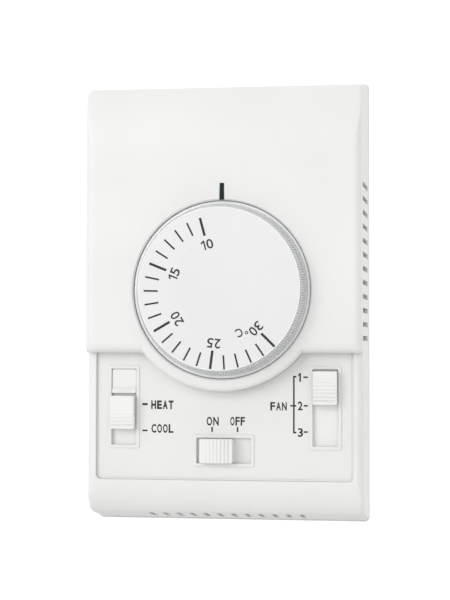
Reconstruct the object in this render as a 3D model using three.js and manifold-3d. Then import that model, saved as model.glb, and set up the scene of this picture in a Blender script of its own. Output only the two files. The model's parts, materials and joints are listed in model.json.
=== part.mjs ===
// Wall thermostat for a fan-coil unit: dial, three slide switches, gas capsule and snap switch.
// Millimetres. Every piece is drawn as it is seen from the room: X to the right, Y up and Z out
// of the wall. The whole assembly is then stood up, so that +Z is up and the wall is the plane
// y = 0, with the origin in the middle of the base plate's back.

import * as THREE from 'three';
import { mergeVertices } from 'three/addons/utils/BufferGeometryUtils.js';
import Module from 'manifold-3d';

const wasm = await Module();
wasm.setup();

// ---------------------------------------------------------------- driving dimensions

// Casing
const bodyWidth = 81.5;
const bodyHeight = 130;
const hoodDepth = 28;           // wall to the front of the hood
const rimDepth = 23;            // wall to the front of the lower part
const wall = 2;
const sideDraft = 0.045;        // every side wall leans in by this much for each mm of depth
const topDraft = 0.167;
const bottomDraft = 0.223;
const topCornerRadius = 1.6;
const bottomCornerRadius = 4;
const edgeFillet = 2.5;
const hoodEdgeHeight = -15.2;   // height of the hood's lower edge
const hoodEdgeRadius = 2.6;
const topRollRadius = 42.5;
const topRollHeight = 22;       // the hood's front falls back over this much under the top edge
const chinRadius = 12.5;
const chinHeight = 14.2;        // the curved chin's height over the bottom edge

// Base plate
const floorThickness = 2;
const locatingRimHeight = 4;
const locatingRimThickness = 1.4;
const wallScrewPitch = 60;
const wallScrewSlotWidth = 4.2;
const wallScrewSlotLength = 8;
const wallScrewHeight = -26;
const cableEntryWidth = 38;
const cableEntryHeight = 18;
const cableEntryCentre = -29;
const cableEntryRadius = 3;

// Air vents
const ventPitch = 4;
const ventWidth = 1.4;
const sideVentCount = 12;
const sideVentTop = 33;
const sideVentFrom = 8;
const sideVentTo = 19.5;
const bottomVentCount = 12;
const bottomVentFrom = 7;
const bottomVentTo = 17.2;
const topVentCount = 16;
const topVentFrom = 8;
const topVentTo = 19;

// Dial
const dialHeight = 2.7;         // height of the dial's axis
const flangeRadius = 25.8;
const flangeSink = 1;           // flange's front behind the hood's front
const flangeThickness = 1.8;
const flangeLedge = 2.1;        // flange's edge to the foot of the knurled wall
const knobHeight = 7;           // flange's front to the knob's front
const knobTaper = 0.5;
const knobRim = 0.6;            // clear rim round the dial face
const dialFaceThickness = 1.1;
const knobWeb = 1.4;
const knobSkirtWall = 1.6;
const knobHubRadius = 5.5;
const knobHubStop = 1.6;        // hub's blind end behind the web
const collarWidth = 2.7;
const collarFillet = 1.6;
const spindleRadius = 3;
const spindleBack = 9;
const spindleShoulder = 1.3;
const spindleRoom = 1;          // round the spindle where it passes through the cover
const bushWall = 1.6;
const bushFlange = 1.4;
const bushFlangeThickness = 0.8;
const clipWidth = 2;
const clipThickness = 0.7;
const clipMouth = 2.4;
const camThickness = 2.4;
const camSmallRadius = 6.5;
const camRise = 2;
const dialTravel = 240;         // degrees from the low stop to the high stop

// Switch panel
const panelDepth = 22;          // wall to the front of the fascia
const fasciaThickness = 1.1;
const panelMargin = 4.45;       // body's side to the fascia's side
const panelSkirt = 13.7;        // body's bottom to the fascia's bottom
const panelCornerRadius = 1.5;
const slotWidth = 7.2;
const slotMargin = 7.2;         // fascia's side to the middle of the fan and heat/cool slots
const longSlotDrop = 4.7;       // hood's edge to the top of the fan slot
const shortSlotRise = 8.1;      // fascia's bottom to the middle of the on/off slot
const frameWidth = 1;
const frameStand = 0.35;
const blankSink = 0.2;          // blanking plate's front behind the fascia's
const blankRidge = 0.9;

// Slide switches
const capLength = 9.5;
const capFront = 25.2;
const fanEndPlay = 1;           // slot left over at both ends of the travel together
const heatCoolEndPlay = 1.2;
const onOffEndPlay = 1.8;
const capRibCount = 8;
const capRibPitch = 1.05;
const capRibDepth = 0.35;
const fanTravel = 11.3;
const twoPlaceTravel = 4.3;
const shutterThickness = 1.2;
const shutterOverlap = 0.9;
const switchBodyWidth = 7.6;
const leverWidth = 2.4;
const leverLength = 2.8;
const leverTipSink = 1;         // fascia's front to the bottom of a cap's socket
const switchFloor = 1.6;
const switchEndWall = 2.4;

// Circuit board and terminals
const boardBack = 10.4;
const boardThickness = 1.6;
const boardMargin = 4.75;       // body's side to the board's side
const boardDrop = 2.8;          // hood's edge to the board's top
const boardSkirt = 8;           // body's bottom to the board's bottom
const boardCornerRadius = 1.5;
const boardScrewSpread = 16;
const boardScrewRadius = 1.1;
const boardBossRadius = 2.6;
const terminalCount = 7;
const terminalPitch = 7.6;
const terminalBlockHeight = 11;
const terminalBlockFront = 8.1;
const terminalEndWall = 0.8;
const terminalScrewRadius = 1.9;
const terminalScrewSeat = 6.7;
const terminalWellFloor = 4.2;
const wireHole = { width: 3, from: 3.6, to: 6.4 };
const barrierGroove = { width: 0.8, depth: 1.6, inset: 2 };

// Temperature mechanism
const chassisBack = 5;
const chassisThickness = 1.6;
const chassisWidth = 66;
const chassisTop = 57.4;
const chassisBottom = -14;
const chassisScrewInset = 4;
const chassisScrewRadius = 1.3;
const chassisBossRadius = 3.4;
const chassisCornerRadius = 2;
const bridgeFront = 16.6;
const bridgeThickness = 1.2;
const bridgeHeight = 12;
const bridgeHalfSpan = 26;
const bridgeFoot = 6;
const capsuleX = 2;
const capsuleHeight = 42;
const capsuleRadius = 14.6;
const capsuleShell = 0.7;
const capsuleHalf = 2.1;        // seam to the outside of either cup
const capsuleRipple = 0.3;
const capsuleStudRadius = 2;
const plungerRadius = 2;
const plungerFoot = { reach: 0.9, thickness: 0.8 };
const rangeLeverThickness = 1.6;
const rangeLeverReach = 19;     // pivot to dial axis
const rangeLeverDrop = 12.6;    // pivot below dial axis
const leverPinRadius = 1.2;
const mainLeverHeight = 30;     // height of the main lever's pin
const mainLeverThickness = 1;
const mainLeverPlane = 15.2;
const mainPinRadius = 0.8;
const mainBarrel = { from: -18.4, to: -11.6 };
const earThickness = 1.6;
const earHalfHeight = 2.2;
const springX = -16;
const springRadius = 2.2;
const springWire = 0.6;
const springTurns = 13;
const bracketThickness = 1;
const bracketRoom = 1.7;        // main lever's blade to the bracket
const bracketPostRadius = 3;
const bracketPostOffset = 22;   // either side of the capsule's axis
const bracketScrewRadius = 1.1;
const snapSwitchThickness = 5.2;
const snapSwitchHalfLength = 12;
const snapSwitchHalfHeight = 5;
const snapButtonOffset = -6;
const snapButtonRadius = 1.2;
const snapTagPitch = 7;

// Screws: head radius, head height, and the straight slot
const smallHead = { radius: 2.1, height: 1.3 };
const largeHead = { radius: 2.6, height: 1.5 };
const terminalHead = { radius: terminalScrewRadius, height: 1 };
const driverSlotWidth = 0.5;
const driverSlotDepth = 0.45;   // share of the head's height

// Clearances
const gap = 0.3;                // between two pieces that rest on or fit in each other
const running = 0.15;           // between a shaft and the hole that it turns in
const slack = 0.45;             // from a slide cap to the end of its slot
const wellGap = 0.4;            // round the dial's flange
const embed = 0.5;              // how far a boss or frame reaches into what carries it
const sharpest = 0.5;           // smallest radius left where a wall's inside follows its outside

// ---------------------------------------------------------------- worked-out places

const far = 200;
const topRollStart = bodyHeight / 2 - topRollHeight;
const chinStart = chinHeight - bodyHeight / 2;
const panelHalfWidth = bodyWidth / 2 - panelMargin;
const panelBottom = panelSkirt - bodyHeight / 2;
const slotOffset = panelHalfWidth - slotMargin;
const flangeFront = hoodDepth - flangeSink;
const knobFront = flangeFront + knobHeight;
const knobRootRadius = flangeRadius - flangeLedge;
const knobFrontRadius = knobRootRadius - knobTaper;
const dialFaceRadius = knobFrontRadius - knobRim;
const longSlotLength = capLength + fanTravel + fanEndPlay;
const shortSlotLength = capLength + twoPlaceTravel + onOffEndPlay;
const blankLength = longSlotLength - (capLength + twoPlaceTravel + heatCoolEndPlay);
const fanSlotTop = hoodEdgeHeight - longSlotDrop;
const fanSlotBottom = fanSlotTop - longSlotLength;
const blankBottom = fanSlotTop - blankLength;
const shortSlotHeight = panelBottom + shortSlotRise;
const boardWidth = bodyWidth - 2 * boardMargin;
const boardTop = hoodEdgeHeight - boardDrop;
const boardBottom = boardSkirt - bodyHeight / 2;
const terminalBlockBottom = boardBottom;
const terminalBlockTop = terminalBlockBottom + terminalBlockHeight;
const dialSides = 72;          // flats round the dial and its well
const coverBack = floorThickness + gap;
const shelfFront = panelDepth - fasciaThickness - gap;      // cover wall behind fascia and dial
const shelfBack = shelfFront - wall;
const wellRadius = flangeRadius + wellGap;
const collarRadius = wellRadius + collarWidth;
const chassisFront = chassisBack + chassisThickness;
const camFront = 13;
const camBack = camFront - camThickness;
const leverPlane = (camFront + camBack) / 2;        // the cam, range lever and spring share it
const bridgeBack = bridgeFront - bridgeThickness;
const boardFront = boardBack + boardThickness;
const shutterFront = shelfBack - gap;
const shutterBack = shutterFront - shutterThickness;
const switchBodyFront = shutterBack - 1.3 * gap;
const capWidth = slotWidth - 2 * gap;
const rangeLeverPivot = { x: rangeLeverReach, y: dialHeight - rangeLeverDrop };
const capsuleBack = chassisFront + gap + embed;
const capsuleSeam = capsuleBack + capsuleHalf;
const capsuleCrown = capsuleHalf - capsuleRipple;       // seam to the flat middle of either cup
const mainLeverBack = mainLeverPlane - mainLeverThickness / 2;
const mainLeverFront = mainLeverPlane + mainLeverThickness / 2;
const bracketBack = mainLeverFront + bracketRoom;
const snapSwitchBack = bracketBack + bracketThickness + gap;
const snapSwitchFront = snapSwitchBack + snapSwitchThickness;
const snapSwitchHeight = capsuleHeight + 5;

// ---------------------------------------------------------------- materials

const finish = (color, roughness, metalness = 0) =>
  new THREE.MeshStandardMaterial({ color, roughness, metalness });

const whitePlastic = finish(0xf0f0ec, 0.45);
const backPlastic = finish(0xe9e9e4, 0.55);
const printedWhite = finish(0xf2f2ef, 0.4);
const clearPlastic = finish(0xc9cccb, 0.2);
const blackPlastic = finish(0x26282b, 0.5);
const bluePlastic = finish(0x2f6f8f, 0.5);
const boardLaminate = finish(0xb98a4e, 0.6);
const steel = finish(0xb4b8bc, 0.35, 1);
const springSteel = finish(0x9a9da1, 0.3, 1);
const brass = finish(0xc9a24b, 0.35, 1);
const copperAlloy = finish(0xc08a5a, 0.35, 1);

// ---------------------------------------------------------------- making solids

function solidOf(geometry) {
  geometry.deleteAttribute('normal');
  geometry.deleteAttribute('uv');
  const merged = mergeVertices(geometry, 1e-4);
  return new wasm.Manifold(new wasm.Mesh({
    numProp: 3,
    vertProperties: new Float32Array(merged.attributes.position.array),
    triVerts: new Uint32Array(merged.index.array),
  }));
}

function geometryOf(solid) {
  const mesh = solid.getMesh();
  const geometry = new THREE.BufferGeometry();
  geometry.setAttribute('position', new THREE.BufferAttribute(mesh.vertProperties, 3));
  geometry.setIndex(new THREE.BufferAttribute(mesh.triVerts, 1));
  geometry.computeVertexNormals();
  return geometry;
}

const join = (...solids) => solids.reduce((sum, solid) => sum.add(solid));
const cut = (body, ...tools) => tools.reduce((rest, tool) => rest.subtract(tool), body);

// A box between two values on each axis
function block(x0, x1, y0, y1, z0, z1) {
  const geometry = new THREE.BoxGeometry(x1 - x0, y1 - y0, z1 - z0);
  geometry.translate((x0 + x1) / 2, (y0 + y1) / 2, (z0 + z1) / 2);
  return solidOf(geometry);
}

// A rod along the depth
function rod(radius, z0, z1, x = 0, y = 0, segments = 24) {
  const geometry = new THREE.CylinderGeometry(radius, radius, z1 - z0, segments);
  geometry.rotateX(Math.PI / 2);
  geometry.translate(x, y, (z0 + z1) / 2);
  return solidOf(geometry);
}

// A rod across the width
function crossRod(radius, x0, x1, y, z, segments = 20) {
  const geometry = new THREE.CylinderGeometry(radius, radius, x1 - x0, segments);
  geometry.rotateZ(Math.PI / 2);
  geometry.translate((x0 + x1) / 2, y, z);
  return solidOf(geometry);
}

// A turned piece. The profile is [radius, depth] pairs that start and end on the axis.
function turned(profile, x, y, segments) {
  const points = profile.map(([radius, depth]) => new THREE.Vector2(radius, depth));
  const geometry = new THREE.LatheGeometry(points, segments);
  geometry.rotateX(Math.PI / 2);
  geometry.translate(x, y, 0);
  return solidOf(geometry);
}

// A front-view outline given a thickness
function plate(shape, z0, z1, curveSegments = 3) {
  const geometry = new THREE.ExtrudeGeometry(shape, {
    depth: z1 - z0,
    bevelEnabled: false,
    curveSegments,
  });
  geometry.translate(0, 0, z0);
  return solidOf(geometry);
}

// A side-view outline, drawn as (depth, height), run across the width
function acrossWidth(shape, x0, x1, curveSegments = 4) {
  const geometry = new THREE.ExtrudeGeometry(shape, {
    depth: x1 - x0,
    bevelEnabled: false,
    curveSegments,
  });
  geometry.rotateY(-Math.PI / 2);
  geometry.translate(x1, 0, 0);
  return solidOf(geometry);
}

// A plan-view outline, drawn as (x, depth), run up the height
function upHeight(shape, y0, y1, curveSegments = 3) {
  const geometry = new THREE.ExtrudeGeometry(shape, {
    depth: y1 - y0,
    bevelEnabled: false,
    curveSegments,
  });
  geometry.rotateX(Math.PI / 2);
  geometry.translate(0, y1, 0);
  return solidOf(geometry);
}

// A rectangle with its own radius at the top and bottom corners
function rectangle(x0, x1, y0, y1, topRadius = 0, bottomRadius = topRadius) {
  const shape = new THREE.Shape();
  shape.moveTo(x0 + bottomRadius, y0);
  shape.lineTo(x1 - bottomRadius, y0);
  if (bottomRadius > 0) {
    shape.absarc(x1 - bottomRadius, y0 + bottomRadius, bottomRadius, -Math.PI / 2, 0);
  }
  shape.lineTo(x1, y1 - topRadius);
  if (topRadius > 0) {
    shape.absarc(x1 - topRadius, y1 - topRadius, topRadius, 0, Math.PI / 2);
  }
  shape.lineTo(x0 + topRadius, y1);
  if (topRadius > 0) {
    shape.absarc(x0 + topRadius, y1 - topRadius, topRadius, Math.PI / 2, Math.PI);
  }
  shape.lineTo(x0, y0 + bottomRadius);
  if (bottomRadius > 0) {
    shape.absarc(x0 + bottomRadius, y0 + bottomRadius, bottomRadius, Math.PI, 1.5 * Math.PI);
  }
  return shape;
}

// A straight-sided outline through [x, y] pairs
function polygon(points) {
  return new THREE.Shape(points.map(([x, y]) => new THREE.Vector2(x, y)));
}

// A bar with round ends between two points
function roundEndedBar(ax, ay, bx, by, radius) {
  const turn = Math.atan2(by - ay, bx - ax);
  const shape = new THREE.Shape();
  shape.absarc(ax, ay, radius, turn + Math.PI / 2, turn + 1.5 * Math.PI);
  shape.absarc(bx, by, radius, turn - Math.PI / 2, turn + Math.PI / 2);
  return shape;
}

// Wire of round section along points that it passes through
function wire(points, radius, steps) {
  const section = new THREE.Shape();
  section.absarc(0, 0, radius, 0, 2 * Math.PI);
  const path = new THREE.CatmullRomCurve3(points);
  return solidOf(new THREE.ExtrudeGeometry(section, {
    extrudePath: path,
    steps,
    curveSegments: 3,
    bevelEnabled: false,
  }));
}

// ---------------------------------------------------------------- assembly

const thermostat = new THREE.Group();
thermostat.name = 'wall_thermostat';
thermostat.rotation.x = Math.PI / 2;

function addPiece(name, solid, material) {
  const mesh = new THREE.Mesh(geometryOf(solid), material);
  mesh.name = name;
  thermostat.add(mesh);
}

// A pan-head screw with a straight slot. Its head's underside is at headBack, and it points at
// the wall, or at the room where outward is true.
function screw(x, y, headBack, head, shankRadius, shankLength, outward = false) {
  const sign = outward ? -1 : 1;
  const [z0, z1] = [headBack, headBack + sign * head.height].sort((a, b) => a - b);
  const [s0, s1] = [headBack, headBack - sign * shankLength].sort((a, b) => a - b);
  const shank = rod(shankRadius, s0, s1, x, y, 10);
  const slotFloor = headBack + sign * head.height * (1 - driverSlotDepth);
  const slotTop = headBack + sign * (head.height + 1);
  const [c0, c1] = [slotFloor, slotTop].sort((a, b) => a - b);
  const reach = head.radius + 1;
  const half = driverSlotWidth / 2;
  return cut(
    join(rod(head.radius, z0, z1, x, y, 16), shank),
    block(x - reach, x + reach, y - half, y + half, c0, c1),
  );
}

// ---------------------------------------------------------------- casing

// The envelope of all side walls, drafted, set in from the outside by inset
function envelope(inset) {
  const depth = 1.3 * hoodDepth;
  const halfWidth = bodyWidth / 2 - inset;
  const halfHeight = bodyHeight / 2 - inset;
  const outline = rectangle(
    -halfWidth, halfWidth, -halfHeight, halfHeight,
    Math.max(topCornerRadius - inset, sharpest), Math.max(bottomCornerRadius - inset, sharpest),
  );
  const geometry = new THREE.ExtrudeGeometry(outline, {
    depth,
    bevelEnabled: false,
    curveSegments: 3,
  });
  const position = geometry.attributes.position;
  const topAtFront = halfHeight - topDraft * depth;
  const bottomAtFront = -halfHeight + bottomDraft * depth;
  for (let i = 0; i < position.count; i += 1) {
    if (position.getZ(i) > depth / 2) {
      const share = (position.getY(i) + halfHeight) / (2 * halfHeight);
      position.setX(i, position.getX(i) * (halfWidth - sideDraft * depth) / halfWidth);
      position.setY(i, bottomAtFront + share * (topAtFront - bottomAtFront));
    }
  }
  return solidOf(geometry);
}

// Plan section that rounds the two long front edges at the given front depth
function edgeRounding(front, inset) {
  const radius = Math.max(edgeFillet - inset, sharpest);
  const shoulder = front - radius;
  const side = bodyWidth / 2 - inset - sideDraft * shoulder;
  const shape = new THREE.Shape();
  shape.moveTo(-far, -10);
  shape.lineTo(far, -10);
  shape.lineTo(far, shoulder);
  shape.lineTo(side, shoulder);
  shape.absarc(side - radius, shoulder, radius, 0, Math.PI / 2);
  shape.absarc(radius - side, shoulder, radius, Math.PI / 2, Math.PI);
  shape.lineTo(-far, shoulder);
  return upHeight(shape, -bodyHeight, bodyHeight);
}

// The hood: full depth, down to its rounded lower edge
function hoodBlock(inset) {
  const front = hoodDepth - inset;
  const edge = hoodEdgeHeight + inset;
  const radius = Math.max(hoodEdgeRadius - inset, sharpest);
  const roll = topRollRadius - inset;
  const centreDepth = hoodDepth - topRollRadius;
  const rollEnd = Math.asin((bodyHeight / 2 + 1 - topRollStart) / roll);
  const shape = new THREE.Shape();
  shape.moveTo(0, edge);
  shape.lineTo(front - radius, edge);
  shape.absarc(front - radius, edge + radius, radius, -Math.PI / 2, 0);
  shape.lineTo(front, topRollStart);
  shape.absarc(centreDepth, topRollStart, roll, 0, rollEnd);
  shape.lineTo(0, bodyHeight / 2 + 1);
  return acrossWidth(shape, -far, far, 5)
    .intersect(envelope(inset))
    .intersect(edgeRounding(front, inset));
}

// The lower part: the rim round the switch panel and the curved chin under it
function lowerBlock(inset, front) {
  const radius = chinRadius - inset;
  const centreDepth = rimDepth - chinRadius;
  const startAngle = Math.acos(Math.min(1, (front - centreDepth) / radius));
  const shape = new THREE.Shape();
  shape.moveTo(0, bodyHeight / 2 - wall);
  shape.lineTo(0, -bodyHeight / 2 - 1);
  shape.lineTo(centreDepth, -bodyHeight / 2 - 1);
  shape.absarc(centreDepth, chinStart, radius, -Math.PI / 2, -startAngle);
  shape.lineTo(front, bodyHeight / 2 - wall);
  return acrossWidth(shape, -far, far, 6)
    .intersect(envelope(inset))
    .intersect(edgeRounding(Math.max(front, rimDepth - inset), inset));
}

function sideVents() {
  const slots = [];
  for (let i = 0; i < sideVentCount; i += 1) {
    const y = sideVentTop - i * ventPitch;
    slots.push(block(-far, far, y - ventWidth / 2, y + ventWidth / 2, sideVentFrom, sideVentTo));
  }
  return slots;
}

// One row of slots through the top or the bottom wall
function endVents(count, y0, y1, z0, z1) {
  const slots = [];
  for (let i = 0; i < count; i += 1) {
    const x = (i - (count - 1) / 2) * ventPitch;
    slots.push(block(x - ventWidth / 2, x + ventWidth / 2, y0, y1, z0, z1));
  }
  return slots;
}

const panelTop = hoodEdgeHeight - gap;
const panelOutline = (grow) => rectangle(
  -panelHalfWidth - grow, panelHalfWidth + grow, panelBottom - grow, panelTop + grow,
  0, panelCornerRadius + grow,
);
const fanSlot = rectangle(
  slotOffset - slotWidth / 2, slotOffset + slotWidth / 2,
  fanSlotBottom, fanSlotTop,
);
const heatCoolSlot = rectangle(
  -slotOffset - slotWidth / 2, -slotOffset + slotWidth / 2,
  fanSlotBottom, fanSlotTop,
);
const onOffSlot = rectangle(
  -shortSlotLength / 2, shortSlotLength / 2,
  shortSlotHeight - slotWidth / 2, shortSlotHeight + slotWidth / 2,
);
const slots = [fanSlot, heatCoolSlot, onOffSlot];

const boardScrewPlaces = [
  [-boardScrewSpread, boardTop - 6],
  [boardScrewSpread, boardTop - 6],
  [0, boardBottom + 3.5],
];

function frontCover() {
  const ease = (1 - Math.SQRT1_2) * collarFillet;
  const collar = turned([
    [0, shelfBack],
    [collarRadius, shelfBack],
    [collarRadius, hoodDepth - collarFillet],
    [collarRadius - ease, hoodDepth - ease],
    [collarRadius - collarFillet, hoodDepth],
    [0, hoodDepth],
  ], 0, dialHeight, dialSides);
  const recess = plate(panelOutline(gap), shelfFront, far);
  const lower = cut(lowerBlock(0, rimDepth), recess);
  const shell = join(lower, hoodBlock(0), collar);
  const cavity = join(cut(hoodBlock(wall), collar), lowerBlock(wall, shelfBack));
  const behind = block(-far, far, -far, far, -far, coverBack);
  const well = rod(wellRadius, shelfFront, far, 0, dialHeight, dialSides);
  const spindleHole = rod(spindleRadius + spindleRoom, 0, far, 0, dialHeight, 32);
  const openSlots = slots.map((slot) => plate(slot, shelfBack - 1, far));
  const half = bodyHeight / 2;
  const ventReach = 4 * wall;
  const vents = [
    ...sideVents(),
    ...endVents(bottomVentCount, -half - 1, -half + ventReach, bottomVentFrom, bottomVentTo),
    ...endVents(topVentCount, half - ventReach, half + 1, topVentFrom, topVentTo),
  ];
  const hollow = cut(shell, cavity, behind, well, spindleHole, ...openSlots, ...vents);
  const bosses = boardScrewPlaces.map(([x, y]) => (
    cut(
      rod(boardBossRadius, boardFront + gap, shelfBack + embed, x, y, 24),
      rod(boardScrewRadius + gap, 0, shelfBack, x, y, 16),
    )
  ));
  return join(hollow, ...bosses);
}

const chassisScrewX = chassisWidth / 2 - chassisScrewInset;
const chassisScrewPlaces = [
  [-chassisScrewX, chassisTop - chassisScrewInset],
  [chassisScrewX, chassisTop - chassisScrewInset],
  [-chassisScrewX, chassisBottom + chassisScrewInset],
  [chassisScrewX, chassisBottom + chassisScrewInset],
];

function basePlate() {
  const halfWidth = bodyWidth / 2;
  const halfHeight = bodyHeight / 2;
  const floor = plate(rectangle(
    -halfWidth, halfWidth, -halfHeight, halfHeight, topCornerRadius, bottomCornerRadius,
  ), 0, floorThickness);
  const rimInset = wall + gap;
  const rimFront = floorThickness + locatingRimHeight;
  const rimBand = block(-far, far, -far, far, floorThickness - embed, rimFront);
  const rim = cut(envelope(rimInset), envelope(rimInset + locatingRimThickness)).intersect(rimBand);
  const bosses = chassisScrewPlaces.map(([x, y]) => (
    rod(chassisBossRadius, floorThickness - embed, chassisBack - gap, x, y, 24)
  ));
  const pilots = chassisScrewPlaces.map(([x, y]) => (
    rod(chassisScrewRadius + gap, floorThickness / 2, far, x, y, 16)
  ));
  const entry = plate(rectangle(
    -cableEntryWidth / 2, cableEntryWidth / 2,
    cableEntryCentre - cableEntryHeight / 2, cableEntryCentre + cableEntryHeight / 2, cableEntryRadius,
  ), -1, far);
  const reach = (wallScrewSlotLength - wallScrewSlotWidth) / 2;
  const screwSlots = [-1, 1].map((side) => {
    const x = side * wallScrewPitch / 2;
    return plate(roundEndedBar(
      x - reach, wallScrewHeight, x + reach, wallScrewHeight, wallScrewSlotWidth / 2,
    ), -1, far);
  });
  return cut(join(floor, rim, ...bosses), entry, ...screwSlots, ...pilots);
}

function switchFascia() {
  const sheet = plate(panelOutline(0), shelfFront + gap, panelDepth);
  const frames = slots.map((slot) => {
    const box = new THREE.Box2().setFromPoints(slot.getPoints());
    return plate(rectangle(
      box.min.x - frameWidth, box.max.x + frameWidth,
      box.min.y - frameWidth, box.max.y + frameWidth,
    ), panelDepth - embed, panelDepth + frameStand);
  });
  const openSlots = slots.map((slot) => plate(slot, 0, far));
  const collarCut = rod(collarRadius + gap, 0, far, 0, dialHeight, dialSides);
  return cut(join(sheet, ...frames), collarCut, ...openSlots);
}

// Closes the unused top third of the heat/cool slot
function blankingPlate() {
  const x0 = -slotOffset - slotWidth / 2 + gap;
  const x1 = -slotOffset + slotWidth / 2 - gap;
  const top = fanSlotTop - gap;
  return join(
    block(x0, x1, blankBottom, top, shelfBack + gap, panelDepth - blankSink),
    block(x0, x1, blankBottom, blankBottom + blankRidge, panelDepth - embed, panelDepth + frameStand),
  );
}

// ---------------------------------------------------------------- dial

function dialKnob() {
  const faceFloor = knobFront - dialFaceThickness - gap;
  const webBack = faceFloor - knobWeb;
  const flangeBack = flangeFront - flangeThickness;
  const skirtInside = knobRootRadius - knobSkirtWall;
  const bore = spindleRadius + gap;
  const hubBack = shelfFront + 4 * gap;
  const faceSeat = dialFaceRadius + running;
  const chamfer = 0.3;
  return turned([
    [0, webBack - knobHubStop],
    [bore, webBack - knobHubStop],
    [bore, hubBack],
    [knobHubRadius, hubBack],
    [knobHubRadius, webBack],
    [skirtInside - chamfer, webBack],
    [skirtInside, flangeBack],
    [flangeRadius, flangeBack],
    [flangeRadius, flangeFront - chamfer],
    [flangeRadius - chamfer, flangeFront],
    [knobRootRadius, flangeFront],
    [knobFrontRadius, knobFront],
    [faceSeat, knobFront],
    [faceSeat, faceFloor],
    [0, faceFloor],
  ], 0, dialHeight, dialSides);
}

function dialFace() {
  return rod(dialFaceRadius, knobFront - dialFaceThickness, knobFront, 0, dialHeight, dialSides);
}

const bushFlangeBack = bridgeBack - gap - bushFlangeThickness;
const bushFront = bridgeFront + gap;

function dialSpindle() {
  const hubEnd = knobFront - dialFaceThickness - gap - knobWeb - knobHubStop;
  return turned([
    [0, spindleBack],
    [spindleRadius, spindleBack],
    [spindleRadius, camFront + gap],
    [spindleRadius + spindleShoulder, camFront + gap],
    [spindleRadius + spindleShoulder, bushFlangeBack - gap],
    [spindleRadius, bushFlangeBack - gap],
    [spindleRadius, hubEnd - gap],
    [0, hubEnd - gap],
  ], 0, dialHeight, 24);
}

// Edge cam. Its radius under the axis grows as the dial turns clockwise.
function setpointCam() {
  const steps = 72;
  const rim = [];
  for (let i = 0; i < steps; i += 1) {
    const angle = i * 360 / steps;
    const share = angle <= dialTravel ? angle / dialTravel : (360 - angle) / (360 - dialTravel);
    const radius = camSmallRadius + camRise * share;
    const turn = THREE.MathUtils.degToRad(angle - 90);
    rim.push([radius * Math.cos(turn), dialHeight + radius * Math.sin(turn)]);
  }
  return cut(
    plate(polygon(rim), camBack, camFront),
    rod(spindleRadius + gap, 0, far, 0, dialHeight),
  );
}

// Spring clip in front of the bush. It keeps the spindle in its bearing.
function spindleClip() {
  const back = bushFront + gap;
  const reach = spindleRadius + clipWidth;
  return cut(
    rod(reach, back, back + clipThickness, 0, dialHeight),
    rod(spindleRadius + running, 0, far, 0, dialHeight),
    block(-clipMouth / 2, clipMouth / 2, dialHeight, dialHeight + reach + 1, 0, far),
  );
}

function spindleBush() {
  const barrel = spindleRadius + bushWall;
  return cut(
    join(
      rod(barrel, bushFlangeBack, bushFront, 0, dialHeight),
      rod(barrel + bushFlange, bushFlangeBack, bridgeBack - gap, 0, dialHeight),
    ),
    rod(spindleRadius + running, 0, far, 0, dialHeight, 24),
  );
}

// ---------------------------------------------------------------- slide switches

// One row per slide: centre of the cap at rest, the way it slides, its slot and its travel
const slides = [
  {
    name: 'fan_speed',
    x: slotOffset,
    y: fanSlotTop - slack - capLength / 2,
    upright: true,
    travel: fanTravel,
    slotFrom: fanSlotBottom,
    slotTo: fanSlotTop,
  },
  {
    name: 'heat_cool',
    x: -slotOffset,
    y: blankBottom - 2 * slack - capLength / 2,
    upright: true,
    travel: twoPlaceTravel,
    slotFrom: fanSlotBottom,
    slotTo: blankBottom,
  },
  {
    name: 'on_off',
    x: -shortSlotLength / 2 + 2.6 * slack + capLength / 2,
    y: shortSlotHeight,
    upright: false,
    travel: twoPlaceTravel,
    slotFrom: -shortSlotLength / 2,
    slotTo: shortSlotLength / 2,
  },
];

// A box given along and across a slide's own direction, as seen from the room
function slideBlock(slide, along0, along1, across0, across1, z0, z1) {
  if (slide.upright) {
    return block(slide.x + across0, slide.x + across1, along0, along1, z0, z1);
  }
  return block(along0, along1, slide.y + across0, slide.y + across1, z0, z1);
}

// Fan and heat/cool caps slide down from rest, the on/off cap slides to the right
function slideCap(slide) {
  const centre = slide.upright ? slide.y : slide.x;
  const half = capLength / 2;
  const halfWide = capWidth / 2;
  const halfShutter = slotWidth / 2 + shutterOverlap;
  const back = slide.upright ? 0 : slide.travel;
  const ahead = slide.upright ? slide.travel : 0;
  const head = slideBlock(
    slide, centre - half, centre + half, -halfWide, halfWide, shutterBack, capFront,
  );
  const shutter = slideBlock(
    slide, slide.slotFrom - shutterOverlap - back, slide.slotTo + shutterOverlap + ahead,
    -halfShutter, halfShutter, shutterBack, shutterFront,
  );
  const socket = slideBlock(
    slide, centre - leverLength / 2 - gap, centre + leverLength / 2 + gap,
    -leverWidth / 2 - gap, leverWidth / 2 + gap, 0, panelDepth - leverTipSink,
  );
  const grooves = [];
  for (let i = 0; i < capRibCount; i += 1) {
    const along = centre + (i - (capRibCount - 1) / 2) * capRibPitch;
    grooves.push(slideBlock(
      slide, along - capRibPitch / 4, along + capRibPitch / 4,
      -far, far, capFront - capRibDepth, far,
    ));
  }
  return cut(join(head, shutter), socket, ...grooves);
}

function slideLever(slide) {
  const centre = slide.upright ? slide.y : slide.x;
  const tip = panelDepth - leverTipSink - gap;
  return slideBlock(
    slide, centre - leverLength / 2, centre + leverLength / 2,
    -leverWidth / 2, leverWidth / 2, boardFront + switchFloor, tip,
  );
}

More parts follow.
